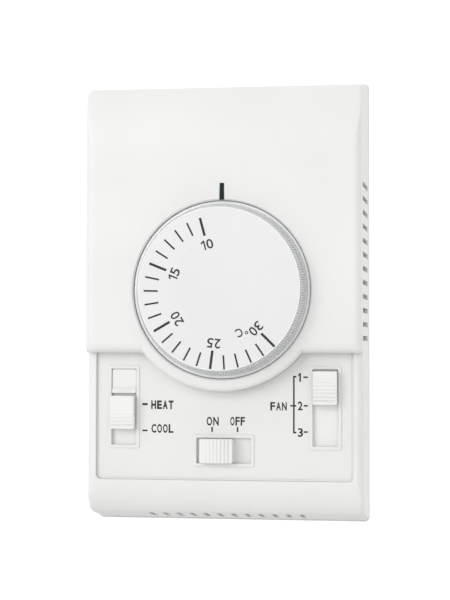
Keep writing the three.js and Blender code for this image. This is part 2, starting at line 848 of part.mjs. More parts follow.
function slideSwitchBody(slide) {
  const centre = slide.upright ? slide.y : slide.x;
  const forward = slide.upright ? -slide.travel : slide.travel;
  const low = Math.min(centre, centre + forward) - leverLength / 2 - gap;
  const high = Math.max(centre, centre + forward) + leverLength / 2 + gap;
  const half = switchBodyWidth / 2;
  const halfMouth = leverWidth / 2 + gap;
  return cut(
    slideBlock(
      slide, low - switchEndWall, high + switchEndWall, -half, half, boardFront + gap, switchBodyFront,
    ),
    slideBlock(slide, low, high, -halfMouth, halfMouth, boardFront + switchFloor - gap, far),
  );
}

function circuitBoard() {
  const holes = boardScrewPlaces.map(([x, y]) => rod(boardScrewRadius + gap, 0, far, x, y, 16));
  const outline = rectangle(-boardWidth / 2, boardWidth / 2, boardBottom, boardTop, boardCornerRadius);
  return cut(plate(outline, boardBack, boardFront), ...holes);
}

// ---------------------------------------------------------------- terminals

const terminalPlace = (i) => (i - (terminalCount - 1) / 2) * terminalPitch;
const terminalMiddle = (terminalBlockTop + terminalBlockBottom) / 2;

function terminalBlock() {
  const halfLength = terminalCount * terminalPitch / 2 + terminalEndWall;
  const { width, from, to } = wireHole;
  const body = block(
    -halfLength, halfLength, terminalBlockBottom, terminalBlockTop,
    floorThickness + gap, terminalBlockFront,
  );
  const tools = [];
  for (let i = 0; i < terminalCount; i += 1) {
    const x = terminalPlace(i);
    const barrier = x + terminalPitch / 2;
    tools.push(rod(terminalScrewRadius + gap, terminalWellFloor, far, x, terminalMiddle, 24));
    tools.push(block(x - width / 2, x + width / 2, terminalMiddle, far, from, to));
    tools.push(block(
      barrier - barrierGroove.width / 2, barrier + barrierGroove.width / 2,
      terminalMiddle + barrierGroove.inset, far, terminalBlockFront - barrierGroove.depth, far,
    ));
  }
  return cut(body, ...tools);
}

// ---------------------------------------------------------------- temperature mechanism

const bracketPosts = [-bracketPostOffset, bracketPostOffset].map((dx) => [capsuleX + dx, snapSwitchHeight]);
const bridgeScrewX = bridgeHalfSpan + bridgeFoot / 2;

function mechanismChassis() {
  const base = plate(rectangle(
    -chassisWidth / 2, chassisWidth / 2, chassisBottom, chassisTop, chassisCornerRadius,
  ), chassisBack, chassisFront);
  const foot = chassisBack + embed;
  const pivotPost = rod(
    leverPinRadius + 1.6, foot, camBack - gap, rangeLeverPivot.x, rangeLeverPivot.y, 24,
  );
  const ears = [mainBarrel.from - gap - earThickness, mainBarrel.to + gap].map((x) => block(
    x, x + earThickness, mainLeverHeight - earHalfHeight, mainLeverHeight + earHalfHeight,
    foot, mainLeverPlane + 2,
  ));
  const posts = bracketPosts.map(([x, y]) => (
    rod(bracketPostRadius, foot, bracketBack - gap, x, y, 24)
  ));
  const drilled = [
    ...chassisScrewPlaces.map(([x, y]) => rod(chassisScrewRadius + gap, 0, far, x, y, 16)),
    ...bracketPosts.map(([x, y]) => rod(bracketScrewRadius + gap, chassisFront, far, x, y, 16)),
    ...[-1, 1].map((side) => (
      rod(bracketScrewRadius + gap, 0, chassisFront + 1, side * bridgeScrewX, dialHeight, 16)
    )),
    rod(capsuleStudRadius + gap, 0, far, capsuleX, capsuleHeight, 24),
    rod(leverPinRadius + gap, chassisBack - 1, far, rangeLeverPivot.x, rangeLeverPivot.y, 20),
    crossRod(mainPinRadius + gap, -30, 0, mainLeverHeight, mainLeverPlane),
  ];
  return cut(join(base, pivotPost, ...ears, ...posts), ...drilled);
}

// Steel strap over the cam that carries the spindle's bearing
function bearingBridge() {
  const footBack = chassisFront + gap;
  const footFront = footBack + bridgeThickness;
  const outer = bridgeHalfSpan;
  const inner = bridgeHalfSpan - bridgeThickness;
  const strap = upHeight(polygon([
    [-outer - bridgeFoot, footBack],
    [-inner, footBack],
    [-inner, bridgeBack],
    [inner, bridgeBack],
    [inner, footBack],
    [outer + bridgeFoot, footBack],
    [outer + bridgeFoot, footFront],
    [outer, footFront],
    [outer, bridgeFront],
    [-outer, bridgeFront],
    [-outer, footFront],
    [-outer - bridgeFoot, footFront],
  ]), dialHeight - bridgeHeight / 2, dialHeight + bridgeHeight / 2);
  return cut(
    strap,
    rod(spindleRadius + bushWall + gap, bridgeBack - 1, far, 0, dialHeight),
    rod(bracketScrewRadius + gap, 0, footFront + 1, -bridgeScrewX, dialHeight, 16),
    rod(bracketScrewRadius + gap, 0, footFront + 1, bridgeScrewX, dialHeight, 16),
  );
}

// Follows the cam from below. The range spring holds it up.
const noseHeight = dialHeight - camSmallRadius - gap;
const springHoleHeight = rangeLeverPivot.y + 1.4;

function rangeLever() {
  const z0 = leverPlane - rangeLeverThickness / 2;
  const z1 = leverPlane + rangeLeverThickness / 2;
  const arm = plate(
    roundEndedBar(springX, springHoleHeight, rangeLeverPivot.x, rangeLeverPivot.y, 2), z0, z1,
  );
  const hub = rod(leverPinRadius + 1.8, z0, z1, rangeLeverPivot.x, rangeLeverPivot.y, 24);
  const nose = plate(roundEndedBar(0, noseHeight - 4, 0, noseHeight - 1.5, 1.5), z0, z1);
  return cut(
    join(arm, hub, nose),
    rod(leverPinRadius + running, 0, far, rangeLeverPivot.x, rangeLeverPivot.y, 20),
    rod(springWire / 2 + 0.6, 0, far, springX, springHoleHeight, 16),
  );
}

function rangeLeverPin() {
  const { x, y } = rangeLeverPivot;
  const head = leverPlane + rangeLeverThickness / 2 + gap;
  return join(
    rod(leverPinRadius, chassisBack + 0.3, head + 0.5, x, y, 20),
    rod(leverPinRadius + 1, head, head + 0.8, x, y, 20),
  );
}

// Bell crank. The capsule pushes its plate, and the range spring pulls its tab.
function mainLever() {
  const barrel = crossRod(
    mainPinRadius + 1, mainBarrel.from, mainBarrel.to, mainLeverHeight, mainLeverPlane,
  );
  const blade = block(
    mainBarrel.from + 3, capsuleX + plungerRadius + 2,
    mainLeverHeight, snapSwitchHeight + 2, mainLeverBack, mainLeverFront,
  );
  const clearOfEar = block(
    mainBarrel.to - gap, far, mainLeverHeight - far, mainLeverHeight + earHalfHeight + 1, 0, far,
  );
  const tab = block(
    springX - 1.4, springX + 1.4, mainLeverHeight - 0.6, mainLeverHeight + 0.6,
    leverPlane - 1.6, mainLeverPlane,
  );
  return cut(
    join(cut(blade, clearOfEar), barrel, tab),
    crossRod(mainPinRadius + running, -30, 0, mainLeverHeight, mainLeverPlane),
    block(
      springX - 0.8, springX + 0.8, mainLeverHeight - 2, mainLeverHeight + 2,
      leverPlane - 0.8, leverPlane + 0.8,
    ),
  );
}

function mainLeverPin() {
  return crossRod(
    mainPinRadius, mainBarrel.from - gap - earThickness - 0.4, mainBarrel.to + gap + earThickness + 0.4,
    mainLeverHeight, mainLeverPlane,
  );
}

// Extension spring between the range lever and the main lever's tab
function rangeSpring() {
  const points = [];
  const place = (dx, y, dz) => points.push(new THREE.Vector3(springX + dx, y, leverPlane + dz));
  place(0, springHoleHeight + 0.4, -1.9);
  place(0, springHoleHeight, 0);
  place(0, springHoleHeight + 0.5, 1.7);
  place(0, springHoleHeight + 2.6, 1.8);
  const coilFrom = springHoleHeight + 5;
  const coilTo = mainLeverHeight - 5;
  const stepsPerTurn = 9;
  const coilSteps = springTurns * stepsPerTurn;
  for (let i = 0; i <= coilSteps; i += 1) {
    const turn = Math.PI / 2 + 2 * Math.PI * i / stepsPerTurn;
    const y = coilFrom + (coilTo - coilFrom) * i / coilSteps;
    place(springRadius * Math.cos(turn), y, springRadius * Math.sin(turn));
  }
  place(0, mainLeverHeight - 2.6, 0.9);
  place(0, mainLeverHeight, 0);
  place(0, mainLeverHeight + 1.3, 0);
  return wire(points, springWire / 2, points.length);
}

// The capsule is two corrugated cups, filled with gas and closed at their rims
function capsuleCup(back) {
  const sign = back ? -1 : 1;
  const seam = back ? capsuleSeam : capsuleSeam + gap;
  const ripple = (radius) => capsuleRipple * Math.sin(Math.PI * (radius - 3) / 3);
  const outside = [];
  const inside = [];
  const radii = [0, 3, 4.5, 6, 7.5, 9, 10.5, 12];
  radii.forEach((radius) => {
    const height = capsuleCrown + (radius > 3 ? ripple(radius) : 0);
    outside.push([radius, height]);
    inside.push([radius, height - capsuleShell]);
  });
  const outline = [
    [0, capsuleCrown - capsuleShell],
    ...inside.slice(1),
    [capsuleRadius - 1.6, 0],
    [capsuleRadius, 0],
    [capsuleRadius, capsuleShell],
    [capsuleRadius - 1.3, capsuleShell],
    ...outside.reverse(),
  ];
  const profile = outline.map(([radius, height]) => [radius, seam + sign * height]);
  return turned(back ? profile.reverse() : profile, capsuleX, capsuleHeight, 36);
}

function capsuleStud() {
  const shellBack = capsuleSeam - capsuleCrown;
  return join(
    rod(capsuleStudRadius, floorThickness + 0.6, shellBack - gap, capsuleX, capsuleHeight, 24),
    rod(capsuleStudRadius + 1.6, chassisFront + gap, shellBack - gap, capsuleX, capsuleHeight, 24),
  );
}

function capsuleNut() {
  return cut(
    rod(4, floorThickness + gap + 0.3, chassisBack - gap, capsuleX, capsuleHeight, 6),
    rod(capsuleStudRadius + running, 0, far, capsuleX, capsuleHeight, 24),
  );
}

function capsulePlunger() {
  const start = capsuleSeam + gap + capsuleCrown + gap;
  const { reach, thickness } = plungerFoot;
  return join(
    rod(plungerRadius + reach, start, start + thickness, capsuleX, capsuleHeight, 24),
    rod(plungerRadius, start, mainLeverBack - gap, capsuleX, capsuleHeight, 24),
  );
}

const snapButtonX = capsuleX + snapButtonOffset;

function switchBracket() {
  const halfLength = bracketPostOffset + bracketPostRadius + 1;
  const halfHeight = snapSwitchHalfHeight + 1;
  return cut(
    plate(rectangle(
      capsuleX - halfLength, capsuleX + halfLength,
      snapSwitchHeight - halfHeight, snapSwitchHeight + halfHeight, 1.5,
    ), bracketBack, bracketBack + bracketThickness),
    ...bracketPosts.map(([x, y]) => rod(bracketScrewRadius + gap, 0, far, x, y, 16)),
    rod(snapButtonRadius + 0.8, 0, far, snapButtonX, snapSwitchHeight, 20),
  );
}

function snapSwitchBody() {
  return cut(
    plate(rectangle(
      capsuleX - snapSwitchHalfLength, capsuleX + snapSwitchHalfLength,
      snapSwitchHeight - snapSwitchHalfHeight, snapSwitchHeight + snapSwitchHalfHeight, 0.8,
    ), snapSwitchBack, snapSwitchFront, 4),
    rod(snapButtonRadius + gap, 0, snapSwitchBack + 2.6, snapButtonX, snapSwitchHeight, 20),
  );
}

function snapSwitchButton() {
  return rod(
    snapButtonRadius, mainLeverFront + gap, snapSwitchBack + 1.4, snapButtonX, snapSwitchHeight, 20,
  );
}

function snapSwitchTag(x) {
  const from = snapSwitchHeight + snapSwitchHalfHeight + gap;
  const depth = snapSwitchBack + snapSwitchThickness / 2;
  return cut(
    block(x - 1.6, x + 1.6, from, from + 5, depth - 0.4, depth + 0.4),
    rod(0.6, 0, far, x, from + 3.2, 12),
  );
}

// ---------------------------------------------------------------- put together

addPiece('base_plate', basePlate(), backPlastic);
addPiece('front_cover', frontCover(), whitePlastic);
addPiece('switch_fascia', switchFascia(), whitePlastic);
addPiece('blanking_plate', blankingPlate(), whitePlastic);

addPiece('dial_knob', dialKnob(), clearPlastic);
addPiece('dial_face', dialFace(), printedWhite);
addPiece('dial_spindle', dialSpindle(), backPlastic);
addPiece('setpoint_cam', setpointCam(), backPlastic);
addPiece('spindle_clip', spindleClip(), springSteel);
addPiece('spindle_bush', spindleBush(), brass);
addPiece('bearing_bridge', bearingBridge(), steel);

slides.forEach((slide) => {
  addPiece(`${slide.name}_cap`, slideCap(slide), whitePlastic);
  addPiece(`${slide.name}_lever`, slideLever(slide), blackPlastic);
  addPiece(`${slide.name}_switch`, slideSwitchBody(slide), steel);
});

addPiece('circuit_board', circuitBoard(), boardLaminate);
boardScrewPlaces.forEach(([x, y], i) => {
  addPiece(
    `board_screw_${i + 1}`,
    screw(x, y, boardBack - gap, smallHead, boardScrewRadius, 6.4, true), steel,
  );
});

addPiece('terminal_block', terminalBlock(), bluePlastic);
for (let i = 0; i < terminalCount; i += 1) {
  addPiece(
    `terminal_screw_${i + 1}`,
    screw(terminalPlace(i), terminalMiddle, terminalScrewSeat, terminalHead, 1.2, 2.2), brass,
  );
}

addPiece('mechanism_chassis', mechanismChassis(), blackPlastic);
chassisScrewPlaces.forEach(([x, y], i) => {
  addPiece(
    `chassis_screw_${i + 1}`,
    screw(x, y, chassisFront + gap, largeHead, chassisScrewRadius, 5), steel,
  );
});
[-1, 1].forEach((side, i) => {
  addPiece(
    `bridge_screw_${i + 1}`,
    screw(
      side * bridgeScrewX, dialHeight, chassisFront + 2 * gap + bridgeThickness,
      smallHead, bracketScrewRadius, 3,
    ), steel,
  );
});
addPiece('range_lever', rangeLever(), steel);
addPiece('range_lever_pin', rangeLeverPin(), steel);
addPiece('range_spring', rangeSpring(), springSteel);
addPiece('main_lever', mainLever(), steel);
addPiece('main_lever_pin', mainLeverPin(), springSteel);
addPiece('capsule_back', capsuleCup(true), copperAlloy);
addPiece('capsule_front', capsuleCup(false), copperAlloy);
addPiece('capsule_stud', capsuleStud(), brass);
addPiece('capsule_nut', capsuleNut(), brass);
addPiece('capsule_plunger', capsulePlunger(), backPlastic);
addPiece('switch_bracket', switchBracket(), steel);
bracketPosts.forEach(([x, y], i) => {
  addPiece(
    `bracket_screw_${i + 1}`,
    screw(x, y, bracketBack + bracketThickness + gap, smallHead, bracketScrewRadius, 6), steel,
  );
});
addPiece('snap_switch', snapSwitchBody(), blackPlastic);
addPiece('snap_switch_button', snapSwitchButton(), backPlastic);
[-1, 0, 1].forEach((place, i) => {
  addPiece(`snap_switch_tag_${i + 1}`, snapSwitchTag(capsuleX + place * snapTagPitch), brass);
});

export default thermostat;
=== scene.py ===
"""The finished wall thermostat: shells, caps, dial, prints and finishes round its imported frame.

Lengths are in metres. Shapes are drawn in the front view, as x across, h up and d out of the
wall, and mesh_of puts them in the frame's axes, where the wall is the plane y = 0 and +Z is up.
"""

import json
import math

import bpy
from bpy.props import FloatProperty, FloatVectorProperty, IntProperty, PointerProperty
from mathutils import Matrix, Vector


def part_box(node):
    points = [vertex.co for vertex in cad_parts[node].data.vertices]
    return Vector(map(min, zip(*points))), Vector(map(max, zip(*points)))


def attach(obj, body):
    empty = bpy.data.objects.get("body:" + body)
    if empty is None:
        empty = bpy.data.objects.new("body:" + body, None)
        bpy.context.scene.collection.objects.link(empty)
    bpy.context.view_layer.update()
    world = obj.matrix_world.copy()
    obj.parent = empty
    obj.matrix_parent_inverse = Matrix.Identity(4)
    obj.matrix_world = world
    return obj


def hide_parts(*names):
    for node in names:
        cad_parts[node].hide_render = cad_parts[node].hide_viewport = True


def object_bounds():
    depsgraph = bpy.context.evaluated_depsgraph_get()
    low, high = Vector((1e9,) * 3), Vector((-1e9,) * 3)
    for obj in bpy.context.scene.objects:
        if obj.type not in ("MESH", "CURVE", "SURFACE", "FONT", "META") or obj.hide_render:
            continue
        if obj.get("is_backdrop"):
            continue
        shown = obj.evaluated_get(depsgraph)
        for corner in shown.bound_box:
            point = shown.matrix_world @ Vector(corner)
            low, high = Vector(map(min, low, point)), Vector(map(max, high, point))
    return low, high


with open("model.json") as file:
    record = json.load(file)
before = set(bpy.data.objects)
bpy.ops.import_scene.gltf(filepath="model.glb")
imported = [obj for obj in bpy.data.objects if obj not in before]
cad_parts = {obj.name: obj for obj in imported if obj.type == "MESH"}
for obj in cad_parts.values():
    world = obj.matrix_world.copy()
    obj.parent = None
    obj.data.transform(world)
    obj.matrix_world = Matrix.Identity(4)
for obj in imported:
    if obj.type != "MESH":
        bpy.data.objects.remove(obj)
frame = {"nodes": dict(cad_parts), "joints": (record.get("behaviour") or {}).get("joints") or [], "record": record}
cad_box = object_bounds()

bl_info = {
    "name": "Wall Thermostat",
    "version": (1, 0, 0),
    "blender": (4, 5, 0),
    "location": "3D View > Sidebar > Thermostat",
    "description": "Builds a wall thermostat's finished pieces round its packed frame",
    "category": "Add Mesh",
}

MM = 0.001


# ---- places read from the frame


class Reach:
    """How far a frame node reaches at rest, in the front view."""

    def __init__(self, node):
        low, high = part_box(node)
        self.left, self.right = low.x, high.x
        self.bottom, self.top = low.z, high.z
        self.back, self.front = -high.y, -low.y
        self.x = (low.x + high.x) / 2
        self.h = (low.z + high.z) / 2


BASE = Reach("base_plate")
COVER = Reach("front_cover")
FASCIA = Reach("switch_fascia")
BLANK = Reach("blanking_plate")
KNOB = Reach("dial_knob")
FACE = Reach("dial_face")
TRAVEL = {joint["name"]: joint.get("range_m", (0, 0))[1] for joint in frame["joints"]}

# The casing's form. It is the frame's own, so it isn't offered as a setting.
WALL = 2 * MM
FIT = 0.3 * MM
FAR = 200 * MM
CLEAR = 1 * MM
PROUD = 0.01 * MM
SIDE_DRAFT = 0.045
TOP_DRAFT = 0.167
BOTTOM_DRAFT = 0.19
HALF_WIDTH = BASE.right
HALF_HEIGHT = BASE.top
HOOD_FRONT = COVER.front
RIM_FRONT = 23 * MM
HOOD_EDGE = FASCIA.top + FIT
TOP_ROLL_RADIUS = 42.5 * MM
TOP_ROLL_START = HALF_HEIGHT - 22 * MM
CHIN_RADIUS = 12.5 * MM
CHIN_START = 13.6 * MM - HALF_HEIGHT
FLOOR_THICKNESS = 2 * MM
FRAME_STAND = 0.35 * MM
FRAME_WIDTH = 1 * MM
PANEL_FRONT = FASCIA.front - FRAME_STAND
SHELF_FRONT = FASCIA.back - FIT
SHELF_BACK = SHELF_FRONT - WALL
FLANGE_RADIUS = KNOB.right - 0.55 * MM
WELL_RADIUS = FLANGE_RADIUS + 0.14 * MM
COLLAR_RADIUS = KNOB.right + 3.1 * MM
SHUTTER_OVERLAP = 0.9 * MM
SHUTTER_THICKNESS = 1.2 * MM
SHUTTER_FRONT = FASCIA.back - 0.12 * MM
CAP_LENGTH = 9.5 * MM
SLOT_WIDTH = Reach("fan_speed_cap").right - Reach("fan_speed_cap").left - 2 * SHUTTER_OVERLAP
HOOD_OVERLAP = 8 * MM
SPINDLE_HOLE = 4 * MM
FINE_GAP = 0.07 * MM
RECESS_GROW = 0.8 * MM
PANEL_LIFT = 0.45 * MM
FACE_SINK = 0.1 * MM
AXIS = Vector((FACE.x, 0, FACE.h))


# ---- settings


def length_property(name, description, millimetres):
    return FloatProperty(
        name=name, description=description, default=millimetres * MM, unit="LENGTH")


class ThermostatSizes(bpy.types.PropertyGroup):
    """Sizes of the fine detail that the frame leaves plain."""

    edge_fillet: length_property("Edge Fillet", "Radius of the casing's long front edges", 2.5)
    hood_roll: length_property("Hood Roll", "Radius under the hood's lower edge", 2.6)
    top_corner: length_property("Top Corner", "Radius of the casing's top corners", 1.2)
    bottom_corner: length_property("Bottom Corner", "Radius of the casing's bottom corners", 1.4)
    panel_chamfer: length_property("Panel Chamfer", "Chamfer round the panel's recess", 0.12)
    vent_width: length_property("Vent Width", "Width of one air vent", 1.4)
    vent_pitch: length_property("Vent Pitch", "From one air vent to the next", 4)
    cap_grooves: IntProperty(
        name="Cap Grooves", description="Finger grooves across each slide cap", default=8, min=2,
        max=12)
    cap_groove_depth: length_property("Cap Groove Depth", "Depth of the last finger groove", 0.42)
    knurl_ridges: IntProperty(
        name="Knurl Ridges", description="Ridges round the dial's wall", default=200, min=40,
        max=300)
    knurl_depth: length_property("Knurl Depth", "Depth of the dial's knurling", 0.4)
    ink_thickness: length_property("Ink Thickness", "Thickness of every printed mark", 0.03)


def colour_property(name, description, default):
    return FloatVectorProperty(
        name=name, description=description, default=default, subtype="COLOR", size=3, min=0, max=1)


class ThermostatColours(bpy.types.PropertyGroup):
    """Colours of the finishes, as linear values."""

    casing: colour_property("Casing", "Front cover", (0.72, 0.72, 0.71))
    wall_side: colour_property("Wall Side", "Base plate and inner mouldings", (0.66, 0.66, 0.64))
    panel: colour_property("Panel", "Fascia and slide caps", (0.705, 0.71, 0.685))
    scale_disc: colour_property("Scale Disc", "The dial's printed face", (0.7, 0.7, 0.7))
    clear: colour_property("Clear Moulding", "The dial's clear body", (0.93, 0.94, 0.94))
    ink: colour_property("Ink", "Printed marks", (0.02, 0.021, 0.023))
    floor: colour_property("Floor", "The plain floor under the thermostat", (0.74, 0.74, 0.74))


# ---- meshes


def mesh_of(name, points, faces):
    """A mesh from (x, h, d) points."""
    mesh = bpy.data.meshes.new(name)
    mesh.from_pydata([(x, -d, h) for x, h, d in points], [], faces)
    mesh.update()
    return mesh


def stack(name, levels):
    """A closed solid through loops of (x, h) points, each at its depth, from the wall side out."""
    count = len(levels[0][0])
    points = [(x, h, depth) for loop, depth in levels for x, h in loop]
    faces = []
    for level in range(len(levels) - 1):
        near, ahead = level * count, (level + 1) * count
        for i in range(count):
            j = (i + 1) % count
            faces.append((near + i, near + j, ahead + j, ahead + i))
    faces.append(tuple(reversed(range(count))))
    faces.append(tuple(range(len(points) - count, len(points))))
    return mesh_of(name, points, faces)


def turned(name, profile, segments=180, x=None, h=None):
    """A solid turned about the depth axis at (x, h), or about the dial's axis. The profile is
    (radius, depth) pairs that start on the axis on the wall side and end on it on the room side."""
    x, h = AXIS.x if x is None else x, AXIS.z if h is None else h
    rings = profile[1:-1]
    points = [(x, h, profile[0][1])]
    for radius, depth in rings:
        for i in range(segments):
            angle = 2 * math.pi * i / segments
            points.append((x + radius * math.cos(angle), h + radius * math.sin(angle), depth))
    points.append((x, h, profile[-1][1]))
    last = len(points) - 1
    faces = []
    for i in range(segments):
        j = (i + 1) % segments
        faces.append((0, 1 + j, 1 + i))
        for ring in range(len(rings) - 1):
            near, ahead = 1 + ring * segments, 1 + (ring + 1) * segments
            faces.append((near + i, near + j, ahead + j, ahead + i))
        top = 1 + (len(rings) - 1) * segments
        faces.append((top + i, top + j, last))
    return mesh_of(name, points, faces)


def rounded(left, right, bottom, top, top_radius, bottom_radius=None, steps=8):
    """A rectangle's loop with rounded corners, anticlockwise as seen from the room."""
    low = top_radius if bottom_radius is None else bottom_radius
    corners = (
        (right - low, bottom + low, low, -90),
        (right - top_radius, top - top_radius, top_radius, 0),
        (left + top_radius, top - top_radius, top_radius, 90),
        (left + low, bottom + low, low, 180),
    )
    loop = []
    for x, h, radius, start in corners:
        for step in range(steps + 1):
            angle = math.radians(start + 90 * step / steps)
            loop.append((x + radius * math.cos(angle), h + radius * math.sin(angle)))
    return loop


def drum(name, radius, back, front, *place):
    """A plain cylinder out of the wall. Its place is turned's segments, x and h."""
    return turned(name, [(0, back), (radius, back), (radius, front), (0, front)], *place)


def arc(radius, front, edge, steps):
    """The rounded edge of a turned form that ends at a radius and a front, as profile pairs."""
    return [(radius - edge * (1 - math.cos(angle)), front - edge * (1 - math.sin(angle)))
            for angle in quarter(steps)]


def around(area, grow, radius, steps=8):
    """The rectangle of anything with a left, right, bottom and top, grown on every side."""
    return rounded(area.left - grow, area.right + grow, area.bottom - grow, area.top + grow, radius,
                   steps=steps)


def through(name, loop, depth=None):
    """A cutting tool from behind the wall plane to a depth, or right through."""
    return stack(name, [(loop, -CLEAR), (loop, FAR if depth is None else depth)])


def box_mesh(name, left, right, bottom, top, back, front):
    loop = [(left, bottom), (right, bottom), (right, top), (left, top)]
    return stack(name, [(loop, back), (loop, front)])


def joined(name, meshes):
    """One mesh that holds several separate solids."""
    points, faces = [], []
    for mesh in meshes:
        start = len(points)
        points += [tuple(vertex.co) for vertex in mesh.vertices]
        faces += [tuple(start + i for i in face.vertices) for face in mesh.polygons]
    whole = bpy.data.meshes.new(name)
    whole.from_pydata(points, [], faces)
    whole.update()
    return whole


def evaluated(holder):
    """An object's mesh as its modifiers leave it. The object is removed."""
    graph = bpy.context.evaluated_depsgraph_get()
    result = bpy.data.meshes.new_from_object(holder.evaluated_get(graph))
    bpy.data.objects.remove(holder)
    return result


def held(name, data):
    """A linked object that holds the data."""
    holder = bpy.data.objects.new(name, data)
    bpy.context.scene.collection.objects.link(holder)
    return holder


def modified(mesh, kind, inputs=None, **settings):
    """The mesh as one modifier leaves it, as a plain mesh."""
    holder = held(mesh.name, mesh)
    modifier = holder.modifiers.new(kind.title(), kind)
    for setting, value in settings.items():
        setattr(modifier, setting, value)
    if inputs:
        for item in modifier.node_group.interface.items_tree:
            if item.item_type == "SOCKET" and item.in_out == "INPUT" and item.name in inputs:
                modifier[item.identifier] = inputs[item.name]
    result = evaluated(holder)
    result.name = mesh.name
    return result


def combined(mesh, tool, operation):
    """Joins tool to mesh with UNION, or cuts it away with DIFFERENCE."""
    cutter = held("tool", tool)
    result = modified(mesh, "BOOLEAN", object=cutter, operation=operation, solver="MANIFOLD")
    bpy.data.objects.remove(cutter)
    if not result.polygons:
        raise RuntimeError(f"{operation} left nothing of {mesh.name}")
    return result


def cut(mesh, *tools):
    for tool in tools:
        mesh = combined(mesh, tool, "DIFFERENCE")
    return mesh


def fused(mesh, *others):
    for other in others:
        mesh = combined(mesh, other, "UNION")
    return mesh


# Edges turned by more than this many degrees are sharp. The knurling's own edges are left smooth.
MOULDED_SHARP, KNURL_SHARP = 28, 40


def shaded(mesh, angle=MOULDED_SHARP):
    """Smooth over rounded stretches and flat over flat ones."""
    mesh.shade_smooth()
    mesh.set_sharp_from_angle(angle=math.radians(angle))
    return modified(mesh, "WEIGHTED_NORMAL", keep_sharp=True, weight=50)


def piece(name, mesh, make, body, slot, *nodes):
    """A finished piece that rides on a body and stands for the given frame nodes."""
    mesh.name = name
    mesh.materials.clear()
    mesh.materials.append(shared(make))
    for polygon in mesh.polygons:
        polygon.material_index = 0
    whole = held(name, mesh)
    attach(whole, body)
    if nodes:
        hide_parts(*nodes)


# ---- geometry nodes


def add_node(tree, kind, inputs, settings):
    """Adds a node, sets it up, and joins or sets its inputs by name or number."""
    added = tree.nodes.new(kind)
    for setting, value in settings.items():
        setattr(added, setting, value)
    for key, value in inputs.items():
        if isinstance(value, bpy.types.NodeSocket):
            tree.links.new(value, added.inputs[key])
        else:
            added.inputs[key].default_value = value
    return added


class NodeTree:
    """A geometry node group under construction. It ends in Realize Instances and Set Material."""

    def __init__(self, name, **inputs):
        self.group = bpy.data.node_groups.new(name, "GeometryNodeTree")
        self.group.interface.new_socket("Shape", in_out="INPUT", socket_type="NodeSocketGeometry")
        for label, kind in inputs.items():
            self.group.interface.new_socket(
                label.replace("_", " ").title(), in_out="INPUT", socket_type=f"NodeSocket{kind}")
        self.group.interface.new_socket("Finish", in_out="INPUT", socket_type="NodeSocketMaterial")
        self.group.interface.new_socket(
            "Geometry", in_out="OUTPUT", socket_type="NodeSocketGeometry")
        self.given = self.group.nodes.new("NodeGroupInput").outputs

    def node(self, kind, inputs=None, **settings):
        return add_node(self.group, kind, inputs or {}, settings)

    def vector(self, operation, first, second):
        """One step of vector arithmetic. A scale's factor goes in by name."""
        inputs = {0: first, "Scale" if operation == "SCALE" else 1: second}
        return self.node("ShaderNodeVectorMath", inputs, operation=operation).outputs[0]

    def number(self, operation, first, second, third=0.0):
        inputs = {0: first, 1: second, 2: third}
        return self.node("ShaderNodeMath", inputs, operation=operation).outputs[0]

    def finish(self, geometry):
        realized = self.node("GeometryNodeRealizeInstances", {"Geometry": geometry})
        painted = self.node("GeometryNodeSetMaterial", {
            "Geometry": realized.outputs[0], "Material": self.given["Finish"]})
        out = self.group.nodes.new("NodeGroupOutput")
        self.group.links.new(painted.outputs[0], out.inputs["Geometry"])
        return self.group


def row_tree():
    """Repeats a shape in a straight row, as vents and finger grooves are."""
    tree = NodeTree("Row", count="Int", step="Vector")
    line = tree.node("GeometryNodeMeshLine", {
        "Count": tree.given["Count"], "Offset": tree.given["Step"]})
    copies = tree.node("GeometryNodeInstanceOnPoints", {
        "Points": line.outputs[0], "Instance": tree.given["Shape"]})
    return tree.finish(copies.outputs[0])


def ring_tree():
    """Repeats a shape round a centre, anticlockwise as seen from the room, as scale marks are."""
    tree = NodeTree("Ring", count="Int", first="Float", step="Float", centre="Vector")
    spots = tree.node("GeometryNodeMeshLine", {
        "Count": tree.given["Count"], "Start Location": tree.given["Centre"],
        "Offset": (0, 0, 0)})
    index = tree.node("GeometryNodeInputIndex").outputs[0]
    turn = tree.number("MULTIPLY_ADD", index, tree.given["Step"], tree.given["First"])
    rotation = tree.node("FunctionNodeAxisAngleToRotation", {"Axis": (0, -1, 0), "Angle": turn})
    copies = tree.node("GeometryNodeInstanceOnPoints", {
        "Points": spots.outputs[0], "Instance": tree.given["Shape"],
        "Rotation": rotation.outputs[0]})
    return tree.finish(copies.outputs[0])


